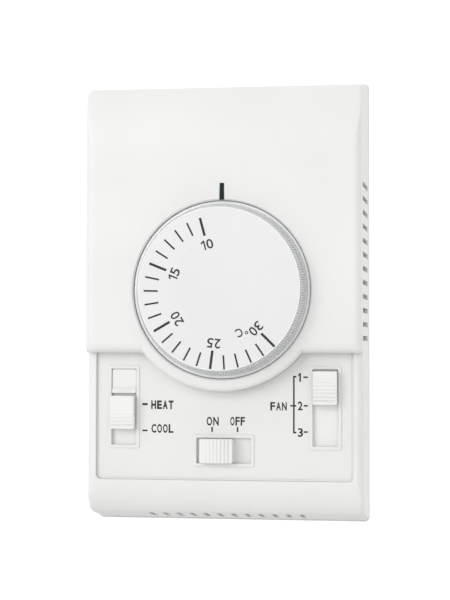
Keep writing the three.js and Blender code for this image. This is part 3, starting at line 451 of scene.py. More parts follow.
def knurl_tree():
    """Presses grooves into a turned wall wherever the mesh's own grip attribute is above zero."""
    tree = NodeTree("Knurl", ridges="Int", depth="Float", centre="Vector")
    place = tree.node("GeometryNodeInputPosition").outputs[0]
    arm = tree.vector("SUBTRACT", place, tree.given["Centre"])
    flat = tree.vector("MULTIPLY", arm, (1, 0, 1))
    outward = tree.node("ShaderNodeVectorMath", {0: flat}, operation="NORMALIZE").outputs[0]
    parts = tree.node("ShaderNodeSeparateXYZ", {0: outward}).outputs
    angle = tree.number("ARCTAN2", parts[2], parts[0])
    turns = tree.number("DIVIDE", tree.number("MULTIPLY", angle, tree.given["Ridges"]), 2 * math.pi)
    groove = tree.number("MULTIPLY", tree.number("PINGPONG", turns, 0.5), 2.0)
    grip = tree.node("GeometryNodeInputNamedAttribute", {"Name": "grip"}, data_type="FLOAT")
    groove_depth_and_shade = tree.number("MULTIPLY", groove, grip.outputs[0])
    inward = tree.number("MULTIPLY", tree.number("MULTIPLY", groove_depth_and_shade, tree.given["Depth"]), -1.0)
    offset = tree.vector("SCALE", outward, inward)
    moved = tree.node(
        "GeometryNodeSetPosition", {"Geometry": tree.given["Shape"], "Offset": offset})
    # Keeps the groove depth on the mesh. The clear finish turns it into painted shade in the hollows.
    kept = tree.node(
        "GeometryNodeStoreNamedAttribute",
        {"Geometry": moved.outputs[0], "Name": "groove_depth_and_shade", "Value": groove_depth_and_shade},
        data_type="FLOAT", domain="POINT")
    return tree.finish(kept.outputs[0])


def repeated(shape, count, step):
    """A row of count copies of shape, where step is (x, h, d) from one to the next."""
    x, h, d = step
    return modified(
        shape, "NODES", {"Count": count, "Step": (x, -d, h)}, node_group=shared(row_tree))


def shared(make):
    """A node group or material that is made once and used again."""
    if make.__name__ not in _shared:
        _shared[make.__name__] = make()
    return _shared[make.__name__]


_shared = {}


# ---- finishes


class Finish:
    """A procedural material under construction, on Object coordinates."""

    def __init__(self, name, **constants):
        self.material = bpy.data.materials.new(name)
        self.material.use_nodes = True
        self.tree = self.material.node_tree
        self.tree.nodes.clear()
        self.shader = self.tree.nodes.new("ShaderNodeBsdfPrincipled")
        out = self.tree.nodes.new("ShaderNodeOutputMaterial")
        self.tree.links.new(self.shader.outputs[0], out.inputs["Surface"])
        self.place = self.tree.nodes.new("ShaderNodeTexCoord").outputs["Object"]
        for label, value in constants.items():
            label = label.replace("_", " ").title().replace("Ior", "IOR")
            self.shader.inputs[label].default_value = value

    def node(self, kind, inputs, **settings):
        return add_node(self.tree, kind, inputs, settings)

    def noise(self, size, detail=2.0, stretch=(1, 1, 1)):
        """Noise whose features are about size metres across, from 0 to 1."""
        place = self.node("ShaderNodeMapping", {"Vector": self.place, "Scale": stretch}).outputs[0]
        inputs = {"Vector": place, "Scale": 1 / size, "Detail": detail}
        return self.node("ShaderNodeTexNoise", inputs).outputs[0]

    def between(self, value, low, high):
        inputs = {"Value": value, "To Min": low, "To Max": high}
        return self.node("ShaderNodeMapRange", inputs).outputs[0]

    def colour(self, value, first, second):
        inputs = {0: value, 6: (*first, 1), 7: (*second, 1)}
        mixed = self.node("ShaderNodeMix", inputs, data_type="RGBA")
        self.tree.links.new(mixed.outputs[2], self.shader.inputs["Base Color"])

    def roughness(self, value, low, high):
        self.tree.links.new(self.between(value, low, high), self.shader.inputs["Roughness"])

    def bump(self, value, depth):
        bumped = self.node("ShaderNodeBump", {"Height": value, "Distance": depth, "Strength": 1.0})
        self.tree.links.new(bumped.outputs[0], self.shader.inputs["Normal"])


def tinted(colour, factor):
    return tuple(min(1.0, channel * factor) for channel in colour)


def moulded(name, colour, roughness, grain, grain_depth):
    """Injection-moulded plastic: a fine spark-eroded grain, faint flow clouds and uneven gloss."""
    finish = Finish(name)
    clouds = finish.noise(28 * MM, 3)
    finish.colour(finish.between(clouds, -0.4, 1.4), tinted(colour, 0.965), tinted(colour, 1.02))
    finish.roughness(finish.noise(6 * MM, 3), roughness - 0.06, roughness + 0.06)
    finish.bump(finish.noise(grain, 2), grain_depth)
    return finish.material


def casing_white():
    return moulded("casing_white", colours().casing, 0.42, 0.35 * MM, 0.006 * MM)


def wall_side_white():
    return moulded("wall_side_white", colours().wall_side, 0.55, 0.5 * MM, 0.012 * MM)


def panel_white():
    return moulded("panel_white", colours().panel, 0.42, 0.35 * MM, 0.006 * MM)


def cap_white():
    return moulded("cap_white", tinted(colours().panel, 1.06), 0.34, 0.3 * MM, 0.003 * MM)


def scale_disc_white():
    return moulded("scale_disc_white", colours().scale_disc, 0.3, 0.8 * MM, 0.002 * MM)


def clear_moulding():
    """Clear acrylic with a trace of haze, and painted shade that greys the hollows of its knurling."""
    finish = Finish("clear_moulding", ior=1.49, transmission_weight=0.12, specular_ior_level=0.5)
    clouds = finish.noise(9 * MM, 2)
    # Painted shade: the stored groove depth greys the knurl's hollows where shade would fall.
    groove_depth_and_shade = finish.node("ShaderNodeAttribute", {}, attribute_name="groove_depth_and_shade").outputs["Fac"]
    haze = finish.between(clouds, 0.0, 0.12)
    inputs = {0: groove_depth_and_shade, 1: 0.3, 2: haze}
    shade = finish.node("ShaderNodeMath", inputs, operation="MULTIPLY_ADD").outputs[0]
    finish.colour(shade, colours().clear, tinted(colours().clear, 0.3))
    finish.roughness(finish.noise(3 * MM, 2), 0.08, 0.18)
    finish.bump(clouds, 0.02 * MM)
    return finish.material


def printing_ink():
    finish = Finish("printing_ink", specular_ior_level=0.3)
    speckle = finish.noise(0.25 * MM, 2)
    finish.colour(speckle, tinted(colours().ink, 0.8), tinted(colours().ink, 1.6))
    finish.roughness(speckle, 0.45, 0.6)
    return finish.material


def index_paint():
    finish = Finish("index_paint", specular_ior_level=0.2)
    speckle = finish.noise(0.4 * MM, 2)
    finish.colour(speckle, (0.004, 0.009, 0.007), (0.012, 0.02, 0.017))
    finish.roughness(speckle, 0.5, 0.65)
    return finish.material


def dark_moulding():
    return moulded("dark_moulding", (0.022, 0.023, 0.026), 0.5, 0.4 * MM, 0.01 * MM)


def blue_moulding():
    return moulded("blue_moulding", (0.05, 0.16, 0.28), 0.45, 0.4 * MM, 0.01 * MM)


def board_laminate():
    """Pressed paper laminate with its faint crossed fibres."""
    finish = Finish("board_laminate")
    along = finish.noise(1.2 * MM, 3, (0.15, 1, 1))
    finish.colour(along, (0.42, 0.25, 0.09), (0.58, 0.36, 0.15))
    finish.roughness(finish.noise(1.2 * MM, 3, (1, 1, 0.15)), 0.45, 0.65)
    finish.bump(along, 0.01 * MM)
    return finish.material


def drawn_metal(name, dark, light, roughness, stretch=(1, 1, 0.06)):
    """Rolled or turned metal: fine drawing lines and patches of duller surface."""
    finish = Finish(name, metallic=1.0)
    lines = finish.noise(0.35 * MM, 3, stretch)
    finish.colour(finish.noise(5 * MM, 3), dark, light)
    finish.roughness(lines, roughness - 0.08, roughness + 0.1)
    finish.bump(lines, 0.004 * MM)
    return finish.material


def rolled_steel():
    return drawn_metal("rolled_steel", (0.42, 0.43, 0.45), (0.55, 0.56, 0.58), 0.32)


def spring_steel():
    return drawn_metal("spring_steel", (0.30, 0.31, 0.33), (0.42, 0.43, 0.45), 0.26)


def turned_brass():
    return drawn_metal("turned_brass", (0.52, 0.35, 0.12), (0.66, 0.47, 0.18), 0.28, (1, 0.06, 1))


def capsule_copper():
    return drawn_metal(
        "capsule_copper", (0.48, 0.25, 0.13), (0.62, 0.36, 0.2), 0.3, (0.06, 1, 0.06))


FINISH_OF_SLOT = {
    "white_plastic": casing_white,
    "back_plastic": wall_side_white,
    "printed_white": scale_disc_white,
    "clear_plastic": clear_moulding,
    "black_plastic": dark_moulding,
    "blue_plastic": blue_moulding,
    "board_laminate": board_laminate,
    "steel": rolled_steel,
    "spring_steel": spring_steel,
    "brass": turned_brass,
    "copper_alloy": capsule_copper,
}


def sizes():
    return bpy.context.scene.thermostat_sizes


def colours():
    return bpy.context.scene.thermostat_colours


# ---- the casing's form


def quarter(steps):
    """Angles of a quarter turn, evenly spaced."""
    return [math.pi / 2 * step / steps for step in range(steps + 1)]


def soft_min(first, second, blend):
    """The lesser of two lengths, with the corner between them rounded over."""
    nearness = max(blend - abs(first - second), 0) / blend
    return min(first, second) - nearness * nearness * blend / 4


def rolled_back(depth, front, radius):
    """How far an outline has drawn in at a depth, where its front edge has the given radius."""
    past = depth - (front - radius)
    return radius - math.sqrt(max(radius * radius - past * past, 0)) if past > 0 else 0.0


def side_at(depth, front, inset):
    radius = max(sizes().edge_fillet - inset, WALL / 4)
    drafted = HALF_WIDTH - inset - SIDE_DRAFT * min(depth, front - radius)
    return drafted - rolled_back(depth, front, radius)


# The hood's corners in its front view, at the wall and how much they gain by the front.
HOOD_BOTTOM_CORNER, HOOD_TOP_GAIN, HOOD_BOTTOM_GAIN = 0.02 * MM, 0.4 * MM, 1.8 * MM
HOOD_BLEND, CHIN_BLEND = 1.6 * MM, 0.8 * MM
ROLL_SWEEP, ROLL_STEPS = math.radians(31), 26


def hood_outline(depth, inset):
    front = HOOD_FRONT - inset
    roll = TOP_ROLL_RADIUS - inset
    out = depth - (HOOD_FRONT - TOP_ROLL_RADIUS)
    top = soft_min(
        HALF_HEIGHT - inset - TOP_DRAFT * depth,
        TOP_ROLL_START + math.sqrt(max(roll * roll - out * out, 0)), HOOD_BLEND)
    edge_radius = max(sizes().hood_roll - inset, WALL / 4)
    bottom = HOOD_EDGE + inset + rolled_back(depth, front, edge_radius)
    side = side_at(depth, front, inset)
    nearing = max((depth - RIM_FRONT) / (HOOD_FRONT - RIM_FRONT), 0)
    return rounded(
        -side, side, bottom, top, sizes().top_corner + HOOD_TOP_GAIN * nearing,
        HOOD_BOTTOM_CORNER + HOOD_BOTTOM_GAIN * nearing)


def arc_depths(front, radius, steps):
    """The depths that a rounded edge passes through on its way to a front."""
    return {front - radius * (1 - math.sin(angle)) for angle in quarter(steps)}


def hood_solid(name, inset, back):
    front = HOOD_FRONT - inset
    depths = {back, RIM_FRONT}
    depths |= arc_depths(front, sizes().edge_fillet, 12)
    depths |= arc_depths(front, sizes().hood_roll, 12)
    depths |= {front - TOP_ROLL_RADIUS * (1 - math.cos(ROLL_SWEEP * step / ROLL_STEPS))
               for step in range(ROLL_STEPS + 1)}
    return stack(name, [(hood_outline(depth, inset), depth) for depth in spaced(depths)])


def spaced(depths):
    """Depths in order, without any that all but coincide."""
    kept = []
    for depth in sorted(depths):
        if not kept or depth - kept[-1] > 0.002 * MM:
            kept.append(depth)
    return kept


def lower_outline(depth, inset, top):
    out = depth - (RIM_FRONT - CHIN_RADIUS)
    radius = CHIN_RADIUS - inset
    wall_line = HALF_HEIGHT - inset - BOTTOM_DRAFT * depth
    chin_line = -CHIN_START + math.sqrt(max(radius * radius - out * out, 0))
    drop = soft_min(wall_line, chin_line, CHIN_BLEND) if out > 0 else wall_line
    side = side_at(depth, RIM_FRONT - inset, inset)
    corner = max(sizes().bottom_corner - inset / 2, 0.7 * MM)
    return rounded(-side, side, -drop, top, HOOD_BOTTOM_CORNER, corner, 10)


def lower_solid(name, inset, back, front, top):
    depths = {back, front} | arc_depths(RIM_FRONT, CHIN_RADIUS, 30)
    depths |= arc_depths(RIM_FRONT - inset, sizes().edge_fillet, 10)
    inside = {depth for depth in depths if back <= depth <= front}
    return stack(name, [(lower_outline(depth, inset, top), depth) for depth in spaced(inside)])


def panel_outline(grow):
    """The fascia's outline, grown to the sides and below, up to the hood's lower edge."""
    corner = 0.7 * MM + grow
    bottom = FASCIA.bottom + PANEL_LIFT - grow
    return rounded(FASCIA.left - grow, FASCIA.right + grow, bottom, HOOD_EDGE, 0.02 * MM, corner)


# How deep each cap's first groove is. The first few pass over a cap where it is negative.
FIRST_GROOVE = {"fan_speed": 0.02 * MM, "heat_cool": -0.22 * MM, "on_off": 0.06 * MM}


class Slide:
    """One slide switch: its slot in the panel, its cap at rest and the way that the cap moves."""

    def __init__(self, name, upright):
        self.name = name
        self.upright = upright
        self.cap = Reach(f"{name}_cap")
        lever = Reach(f"{name}_lever")
        self.travel = TRAVEL[f"{name}_slide"]
        self.x, self.h = lever.x, lever.h
        half = SLOT_WIDTH / 2
        if upright:
            self.left, self.right = lever.x - half, lever.x + half
            self.bottom = self.cap.bottom + SHUTTER_OVERLAP
            self.top = self.cap.top - SHUTTER_OVERLAP - self.travel
            if name == "heat_cool":
                self.top = max(self.top, BLANK.top + FIT)
        else:
            self.bottom, self.top = lever.h - half, lever.h + half
            self.left = self.cap.left + SHUTTER_OVERLAP + self.travel
            self.right = self.cap.right - SHUTTER_OVERLAP

    def sweep(self, grow):
        """The rectangle that the shutter passes over between its two ends."""
        ahead = 0.0 if self.upright else self.travel
        down = self.travel if self.upright else 0.0
        return rounded(
            self.cap.left - grow, self.cap.right + ahead + grow, self.cap.bottom - down - grow,
            self.cap.top + grow, 0.5 * MM)

    def outline(self, grow, radius):
        return around(self, grow, radius, 4)


SLIDES = (Slide("fan_speed", True), Slide("heat_cool", True), Slide("on_off", False))


# ---- pieces


# How many vents each row has, and how far out of the wall they start and stop.
SIDE_VENTS, SIDE_VENT_BACK, SIDE_VENT_FRONT = 12, 6 * MM, 22 * MM
SIDE_VENT_TOP = 33 * MM
END_VENTS = ((12, -HALF_HEIGHT, 7 * MM, 17.2 * MM), (16, HALF_HEIGHT, 8 * MM, 19 * MM))
VENT_CORNER = 0.3 * MM


def vent_rows():
    """Tools for the air vents: down both sides, along the bottom and along the top."""
    pitch = sizes().vent_pitch

    def loop(middle, back, front):
        half = sizes().vent_width / 2
        return rounded(middle - half, middle + half, back, front, VENT_CORNER)

    side = prism("side_vent", loop(SIDE_VENT_TOP, SIDE_VENT_BACK, SIDE_VENT_FRONT), "x", -FAR, FAR)
    tools = [repeated(side, SIDE_VENTS, (0, -pitch, 0))]
    for count, edge, back, front in END_VENTS:
        inner, outer = sorted((edge * 0.88, edge * 1.02))
        vent = prism("end_vent", loop(-(count - 1) / 2 * pitch, back, front), "h", inner, outer)
        tools.append(repeated(vent, count, (pitch, 0, 0)))
    return tools


def prism(name, loop, axis, start, end):
    """A loop carried from start to end along x, as (h, d) pairs, or along h, as (x, d) pairs."""
    count = len(loop)
    if axis == "x":
        points = [(at, a, b) for at in (start, end) for a, b in loop]
    else:
        points = [(a, at, b) for at in (end, start) for a, b in loop]
    faces = [(i, (i + 1) % count, count + (i + 1) % count, count + i) for i in range(count)]
    faces += [tuple(reversed(range(count))), tuple(range(count, 2 * count))]
    mesh = mesh_of(name, points, faces)
    start = Vector(mesh.vertices[0].co)
    volume = sum((face.center - start).dot(face.normal) * face.area for face in mesh.polygons)
    if volume < 0:
        mesh.flip_normals()
    return mesh


def cover_mesh():
    """The front cover: hood, lower part and dial collar in one shell, open at the back."""
    back = COVER.back
    flare, fillet, chamfer, window_gap = sizes().panel_chamfer, 1.6 * MM, 0.4 * MM, 0.15 * MM
    lower = lower_solid("cover", 0, back, RIM_FRONT, HOOD_EDGE)
    wide, flared = panel_outline(RECESS_GROW), panel_outline(RECESS_GROW + flare)
    recess = stack("recess", [
        (wide, SHELF_FRONT), (wide, RIM_FRONT - flare), (flared, RIM_FRONT + PROUD), (flared, FAR)])
    collar = turned("collar", [
        (0, SHELF_BACK), (COLLAR_RADIUS, SHELF_BACK),
        *arc(COLLAR_RADIUS, HOOD_FRONT, fillet, 8), (0, HOOD_FRONT)])
    shell = fused(cut(lower, recess), hood_solid("hood", 0, back), collar)
    plug = drum("plug", COLLAR_RADIUS, SHELF_BACK, HOOD_FRONT)
    hood_cavity = cut(hood_solid("hood_cavity", WALL, back - CLEAR), plug)
    lower_cavity = lower_solid(
        "lower_cavity", WALL, back - CLEAR, SHELF_BACK, HALF_HEIGHT - HOOD_OVERLAP)
    well = turned("well", [
        (0, SHELF_FRONT), (WELL_RADIUS, SHELF_FRONT), (WELL_RADIUS, HOOD_FRONT - chamfer),
        (WELL_RADIUS + chamfer, HOOD_FRONT + PROUD), (WELL_RADIUS + chamfer, FAR), (0, FAR)])
    shell = cut(
        shell, hood_cavity, lower_cavity, well, drum("spindle_hole", SPINDLE_HOLE, 0, FAR, 48))
    windows = []
    for slide in SLIDES:
        loop = slide.sweep(window_gap)
        windows.append(stack("window", [(loop, SHELF_BACK - CLEAR), (loop, FASCIA.back)]))
    return cut(shell, joined("windows", windows), *vent_rows())


# The base plate's openings and hollows, each as left, right, bottom, top and corner radius, in mm.
CABLE_ENTRY = (-19, 19, -38, -20, 3)
SCREW_SLOTS = ((-34, -26, -28.1, -23.9, 2.0999), (26, 34, -28.1, -23.9, 2.0999))
RELIEFS = tuple(
    (left, right, bottom, top, 1.6) for bottom, top in ((-12, 58), (-60, -44))
    for left, right in ((-36, -12.7), (-11.3, -6), (6, 11.3), (12.7, 36)))
RELIEF_DEPTH = 0.7 * MM
BOSS_RADIUS, BOSS_FRONT, PILOT_RADIUS = 3.4 * MM, 4.7 * MM, 1.6 * MM
RIM_THICKNESS = 1.4 * MM
CHASSIS_SCREWS = 4


def wall_plate_mesh():
    """The base plate: a flat floor with a locating rim, screw bosses, openings and reliefs."""
    edge, boss_edge = 0.4 * MM, 0.2 * MM
    rim_inset = WALL + FIT

    def outline(grow):
        return rounded(
            -HALF_WIDTH - grow, HALF_WIDTH + grow, -HALF_HEIGHT - grow, HALF_HEIGHT + grow,
            sizes().top_corner + grow, sizes().bottom_corner + grow)

    floor = stack("wall_plate", [
        (outline(-edge), 0), (outline(-edge * 0.3), edge * 0.3), (outline(0), edge),
        (outline(0), FLOOR_THICKNESS - edge / 2), (outline(-edge / 2), FLOOR_THICKNESS),
    ])

    def rim_outline(inset, depth):
        side = HALF_WIDTH - inset - SIDE_DRAFT * depth
        return rounded(
            -side, side, -HALF_HEIGHT + inset + BOTTOM_DRAFT * depth,
            HALF_HEIGHT - inset - TOP_DRAFT * depth,
            0.6 * MM, max(sizes().bottom_corner - rim_inset, 0.5 * MM))

    def rim_block(name, inset, back, front):
        return stack(name, [(rim_outline(inset, back), back), (rim_outline(inset, front), front)])

    rim = cut(
        rim_block("rim", rim_inset, FLOOR_THICKNESS / 2, BASE.front),
        rim_block("rim_inside", rim_inset + RIM_THICKNESS, 0, BASE.front + CLEAR))
    bosses = []
    pilots = []
    for number in range(CHASSIS_SCREWS):
        spot = Reach(f"chassis_screw_{number + 1}")
        bosses.append(turned("boss", [
            (0, FLOOR_THICKNESS / 2), (BOSS_RADIUS, FLOOR_THICKNESS / 2),
            (BOSS_RADIUS, BOSS_FRONT - boss_edge), (BOSS_RADIUS - boss_edge, BOSS_FRONT),
            (0, BOSS_FRONT),
        ], 48, spot.x, spot.h))
        pilots.append(drum("pilot", PILOT_RADIUS, FLOOR_THICKNESS / 2, FAR, 32, spot.x, spot.h))
    plate = fused(floor, rim, joined("bosses", bosses))
    tools = [through("opening", in_mm(opening)) for opening in (CABLE_ENTRY, *SCREW_SLOTS)]
    tools += [through("relief", in_mm(relief), RELIEF_DEPTH) for relief in RELIEFS]
    return cut(plate, joined("plate_tools", tools), joined("pilots", pilots))


def in_mm(opening):
    return rounded(*(value * MM for value in opening))


def bevelled(name, outline, back, front, edge):
    """A plate whose outline(grow) gives its loop, with its room-side edge rounded over."""
    return stack(name, [
        (outline(0), back), *[(outline(grow), depth) for grow, depth in arc(0, front, edge, 4)]])


def fascia_mesh():
    """The switch fascia: a thin sheet with a raised frame round each slot."""
    edge, line, radius, corner = 0.18 * MM, 0.1 * MM, 0.5 * MM, 0.15 * MM
    grown = RECESS_GROW - 0.02 * MM
    sheet = bevelled(
        "panel_sheet", lambda grow: panel_outline(grown + grow), FASCIA.back, PANEL_FRONT,
        0.08 * MM)
    border, land = panel_outline(FIT), panel_outline(FIT - line)
    groove = cut(
        stack("groove", [(border, PANEL_FRONT - line), (border, FAR)]),
        stack("land", [(land, 0), (land, 2 * FAR)]))
    sheet = cut(sheet, groove)

    def framed(slide):
        return bevelled(
            "frame", lambda grow: slide.outline(FRAME_WIDTH + grow, radius + grow),
            PANEL_FRONT - 0.5 * MM, FASCIA.front, edge)

    sheet = fused(sheet, joined("frames", [framed(slide) for slide in SLIDES]))
    tools = []
    for slide in SLIDES:
        plain, flared = slide.outline(0, corner), slide.outline(edge, corner + edge)
        tools.append(stack("slot", [
            (plain, FASCIA.back - CLEAR), (plain, FASCIA.front - edge),
            (flared, FASCIA.front + PROUD), (flared, FAR)]))
    collar = drum("collar_cut", COLLAR_RADIUS + FINE_GAP, 0, FAR)
    return cut(sheet, joined("slots", tools), collar)


def blank_mesh():
    """The plate that closes the unused top of the heat and cool slot, with its stop ridge."""
    edge, ridge_width = 0.12 * MM, 0.9 * MM

    def outline(area, corner, grow):
        grow += FIT - FINE_GAP
        return around(area, grow, corner + grow, 3)

    ridge = Reach("blanking_plate")
    ridge.top = ridge.bottom + ridge_width
    return fused(
        bevelled("slot_blank", lambda grow: outline(BLANK, 0.25 * MM, grow),
                 BLANK.back, PANEL_FRONT - 0.2 * MM, edge),
        bevelled("ridge", lambda grow: outline(ridge, 0.2 * MM, grow),
                 PANEL_FRONT - 0.5 * MM, BLANK.front, edge))


GROOVE_PITCH, GROOVE_HALF, GROOVE_SLOPE = 1.05 * MM, 0.3 * MM, 0.22 * MM


def cap_mesh(slide):
    """A slide cap: a rounded pad with finger grooves that deepen the way it slides."""
    cap, front, above = slide.cap, slide.cap.front, slide.cap.front + 2 * MM
    half_long, half_wide = CAP_LENGTH / 2, SLOT_WIDTH / 2 - 2 * FINE_GAP
    reach_x, reach_h = (half_wide, half_long) if slide.upright else (half_long, half_wide)

    def pad(grow):
        return rounded(
            slide.x - reach_x - grow, slide.x + reach_x + grow, slide.h - reach_h - grow,
            slide.h + reach_h + grow, 0.45 * MM + grow, steps=5)

    head = bevelled("cap", pad, cap.back + SHUTTER_THICKNESS / 2, front, 0.3 * MM)
    shutter = bevelled(
        "shutter", lambda grow: around(cap, grow, 0.5 * MM + grow, 3),
        SHUTTER_FRONT - SHUTTER_THICKNESS, SHUTTER_FRONT, 0.15 * MM)
    lever = Reach(f"{slide.name}_lever")
    socket = box_mesh(
        "socket", lever.left - FIT, lever.right + FIT, lever.bottom - FIT, lever.top + FIT, 0,
        lever.front + FIT)
    count = sizes().cap_grooves
    first = -(count - 1) / 2 * GROOVE_PITCH
    start = front - FIRST_GROOVE[slide.name]
    half = [(GROOVE_HALF, above), (GROOVE_HALF, start + GROOVE_SLOPE), (GROOVE_HALF * 0.3, start)]
    loop = [(first - out, depth) for out, depth in half]
    loop += [(first + out, depth) for out, depth in reversed(half)]
    fall = -(sizes().cap_groove_depth - FIRST_GROOVE[slide.name]) / (count - 1)
    if slide.upright:
        loop = [(slide.h - along, depth) for along, depth in loop]
        groove = prism("groove", loop, "x", slide.x - FAR, slide.x + FAR)
        grooves = repeated(groove, count, (0, -GROOVE_PITCH, fall))
    else:
        loop = [(slide.x + along, depth) for along, depth in loop]
        groove = prism("groove", loop, "h", slide.h - FAR, slide.h + FAR)
        grooves = repeated(groove, count, (GROOVE_PITCH, 0, fall))
    return cut(fused(head, shutter), socket, grooves)


def knob_mesh():
    """The clear dial body: a flat flange, a knurled wall and a hub, all one moulding."""
    flange, bore, hub, hub_bore = FLANGE_RADIUS, KNOB.right - 3.7 * MM, 5.5 * MM, 3.3 * MM
    root, tip, seat = flange - 1.0 * MM, FACE.right + 0.35 * MM, FACE.right - PROUD
    flange_front = HOOD_FRONT - 1 * MM
    flange_back = flange_front - 1.8 * MM
    face_floor = FACE.back - FIT
    web_back = face_floor - 1.4 * MM
    bore_end = web_back - 1.6 * MM
    rim_front = KNOB.front - FACE_SINK + 0.03 * MM
    lip, groove, bevel, rim_edge = 0.25 * MM, 0.3 * MM, 0.2 * MM, 0.12 * MM
    profile = [
        (0, bore_end), (hub_bore, bore_end), (hub_bore, KNOB.back),
        (hub - bevel, KNOB.back), (hub, KNOB.back + bevel), (hub, web_back),
        (bore - groove, web_back), (bore, web_back - groove), (bore, flange_back),
        (flange - lip, flange_back), (flange, flange_back + lip), (flange, flange_front - lip),
        (flange - lip * 0.3, flange_front - lip * 0.3), (flange - lip, flange_front),
        (root + groove, flange_front), (root + groove / 2, flange_front - groove),
        (root, flange_front + 0.1 * MM),
    ]
    plain, wall_steps = len(profile), 6
    low, high = flange_front + 0.35 * MM, rim_front - 0.3 * MM
    for step in range(wall_steps + 1):
        depth = low + (high - low) * (step / wall_steps)
        climbed = (depth - flange_front) / (rim_front - flange_front)
        profile.append((root - (root - tip) * climbed, depth))
    gripped = range(plain, len(profile))
    profile += [(tip, rim_front - rim_edge), (tip - rim_edge, rim_front), (seat, rim_front),
                (seat, face_floor), (0, face_floor)]
    segments = 4 * sizes().knurl_ridges
    mesh = turned("dial_body", profile, segments)
    grip = mesh.attributes.new("grip", "FLOAT", "POINT")
    for ring in gripped:
        for i in range(segments):
            grip.data[1 + (ring - 1) * segments + i].value = 1.0
    inputs = {"Ridges": sizes().knurl_ridges, "Depth": sizes().knurl_depth, "Centre": AXIS,
              "Finish": shared(clear_moulding)}
    return modified(mesh, "NODES", inputs, node_group=shared(knurl_tree))


def face_mesh():
    """The scale disc, set just below the rim of the clear body."""
    front, radius, edge = FACE.front - FACE_SINK, FACE.right, 0.06 * MM
    return turned("scale_disc", [
        (0, FACE.back), (radius, FACE.back), *arc(radius, front, edge, 3), (0, front)])


# ---- printed marks


def character(symbol, width, height, weight):
    """One flat character round (0, 0), scaled to the given width and height."""
    if symbol == "1":
        stem, hook = height * (0.13 + 2 * weight), height * 0.2
        side = width / 2
        top = height / 2
        outline = [(side - stem, -top), (side, -top), (side, top), (side - stem * 0.8, top),
                   (-side, top - hook), (-side, top - hook - stem),
                   (side - stem, top - stem - hook * 0.35)]
        flat = bpy.data.meshes.new("one")
        flat.from_pydata([(*spot, 0) for spot in outline], [], [tuple(range(len(outline)))])
        flat.update()
        return flat
    curve = bpy.data.curves.new("character", "FONT")
    curve.body = symbol
    curve.offset = weight
    curve.resolution_u = 5
    flat = evaluated(held("character", curve))
    xs = [vertex.co.x for vertex in flat.vertices]
    ys = [vertex.co.y for vertex in flat.vertices]
    middle = Vector(((min(xs) + max(xs)) / 2, (min(ys) + max(ys)) / 2, 0))
    scale = Vector((width / (max(xs) - min(xs)), height / (max(ys) - min(ys)), 1))
    for vertex in flat.vertices:
        vertex.co = (vertex.co - middle) * scale
    return flat


def printed(text, width, height, x, h, depth, turn=0.0, weight=0.012):
    """Prints text across a surface at a depth, centred on (x, h) and turned anticlockwise."""
    gap, narrow = 0.2, 0.62
    shares = [narrow if symbol == "1" else 1.0 for symbol in text]
    unit = width / (sum(shares) + gap * (len(text) - 1))
    marks = []
    along = -width / 2
    for symbol, share in zip(text, shares):
        flat = character(symbol, share * unit, height, weight)
        shift = Vector((along + share * unit / 2, 0, 0))
        spots = [vertex.co + shift for vertex in flat.vertices]
        marks.append(inked(spots, flat, x, h, depth, turn))
        along += (share + gap) * unit
    return joined("print", marks)


def inked(spots, flat, x, h, depth, turn):
    """Stands a flat mesh's spots up on a surface at a depth and gives them the ink's thickness."""
    spin = Matrix.Rotation(turn, 3, "Z")
    count = len(spots)
    spots = [spin @ spot for spot in spots]
    ink = sizes().ink_thickness
    points = [(x + spot.x, h + spot.y, depth + lift) for lift in (0, ink) for spot in spots]
    faces = []
    edges = []
    for polygon in flat.polygons:
        corners = list(polygon.vertices)
        if polygon.normal.z < 0:
            corners.reverse()
        faces.append(tuple(count + i for i in corners))
        faces.append(tuple(reversed(corners)))
        edges += zip(corners, corners[1:] + corners[:1])
    known = set(edges)
    faces += [(i, j, count + j, count + i) for i, j in edges if (j, i) not in known]
    return mesh_of("ink", points, faces)


def stroke(left, right, bottom, top, depth):
    return box_mesh("stroke", left, right, bottom, top, depth, depth + sizes().ink_thickness)


SCALE_CENTRE = Vector((0.45 * MM, 0, FACE.h - 1.0 * MM))
SCALE_FIRST = math.radians(15.2)
SCALE_DEGREE = math.radians(10.51)
SCALE_LOW, SCALE_HIGH, SCALE_STEP = 10, 30, 5


# The scale's marks and numerals: how far out they reach, and their sizes.
MARK_TIP, NUMERAL_RADIUS, NUMERAL_HEIGHT = 21.6 * MM, 14.1 * MM, 2.7 * MM
LONG_MARK = {"inner": 16.4 * MM, "width": 0.7 * MM}
SHORT_MARK = {"inner": 17.6 * MM, "width": 0.48 * MM}
NUMERAL_SHIFT = (0.1 * MM, -0.25 * MM)
UNIT_CHARACTERS = (("\u00b0", 0.95, 0.95, 214, 13.3), ("C", 1.8, 2.4, 206, 12.3))


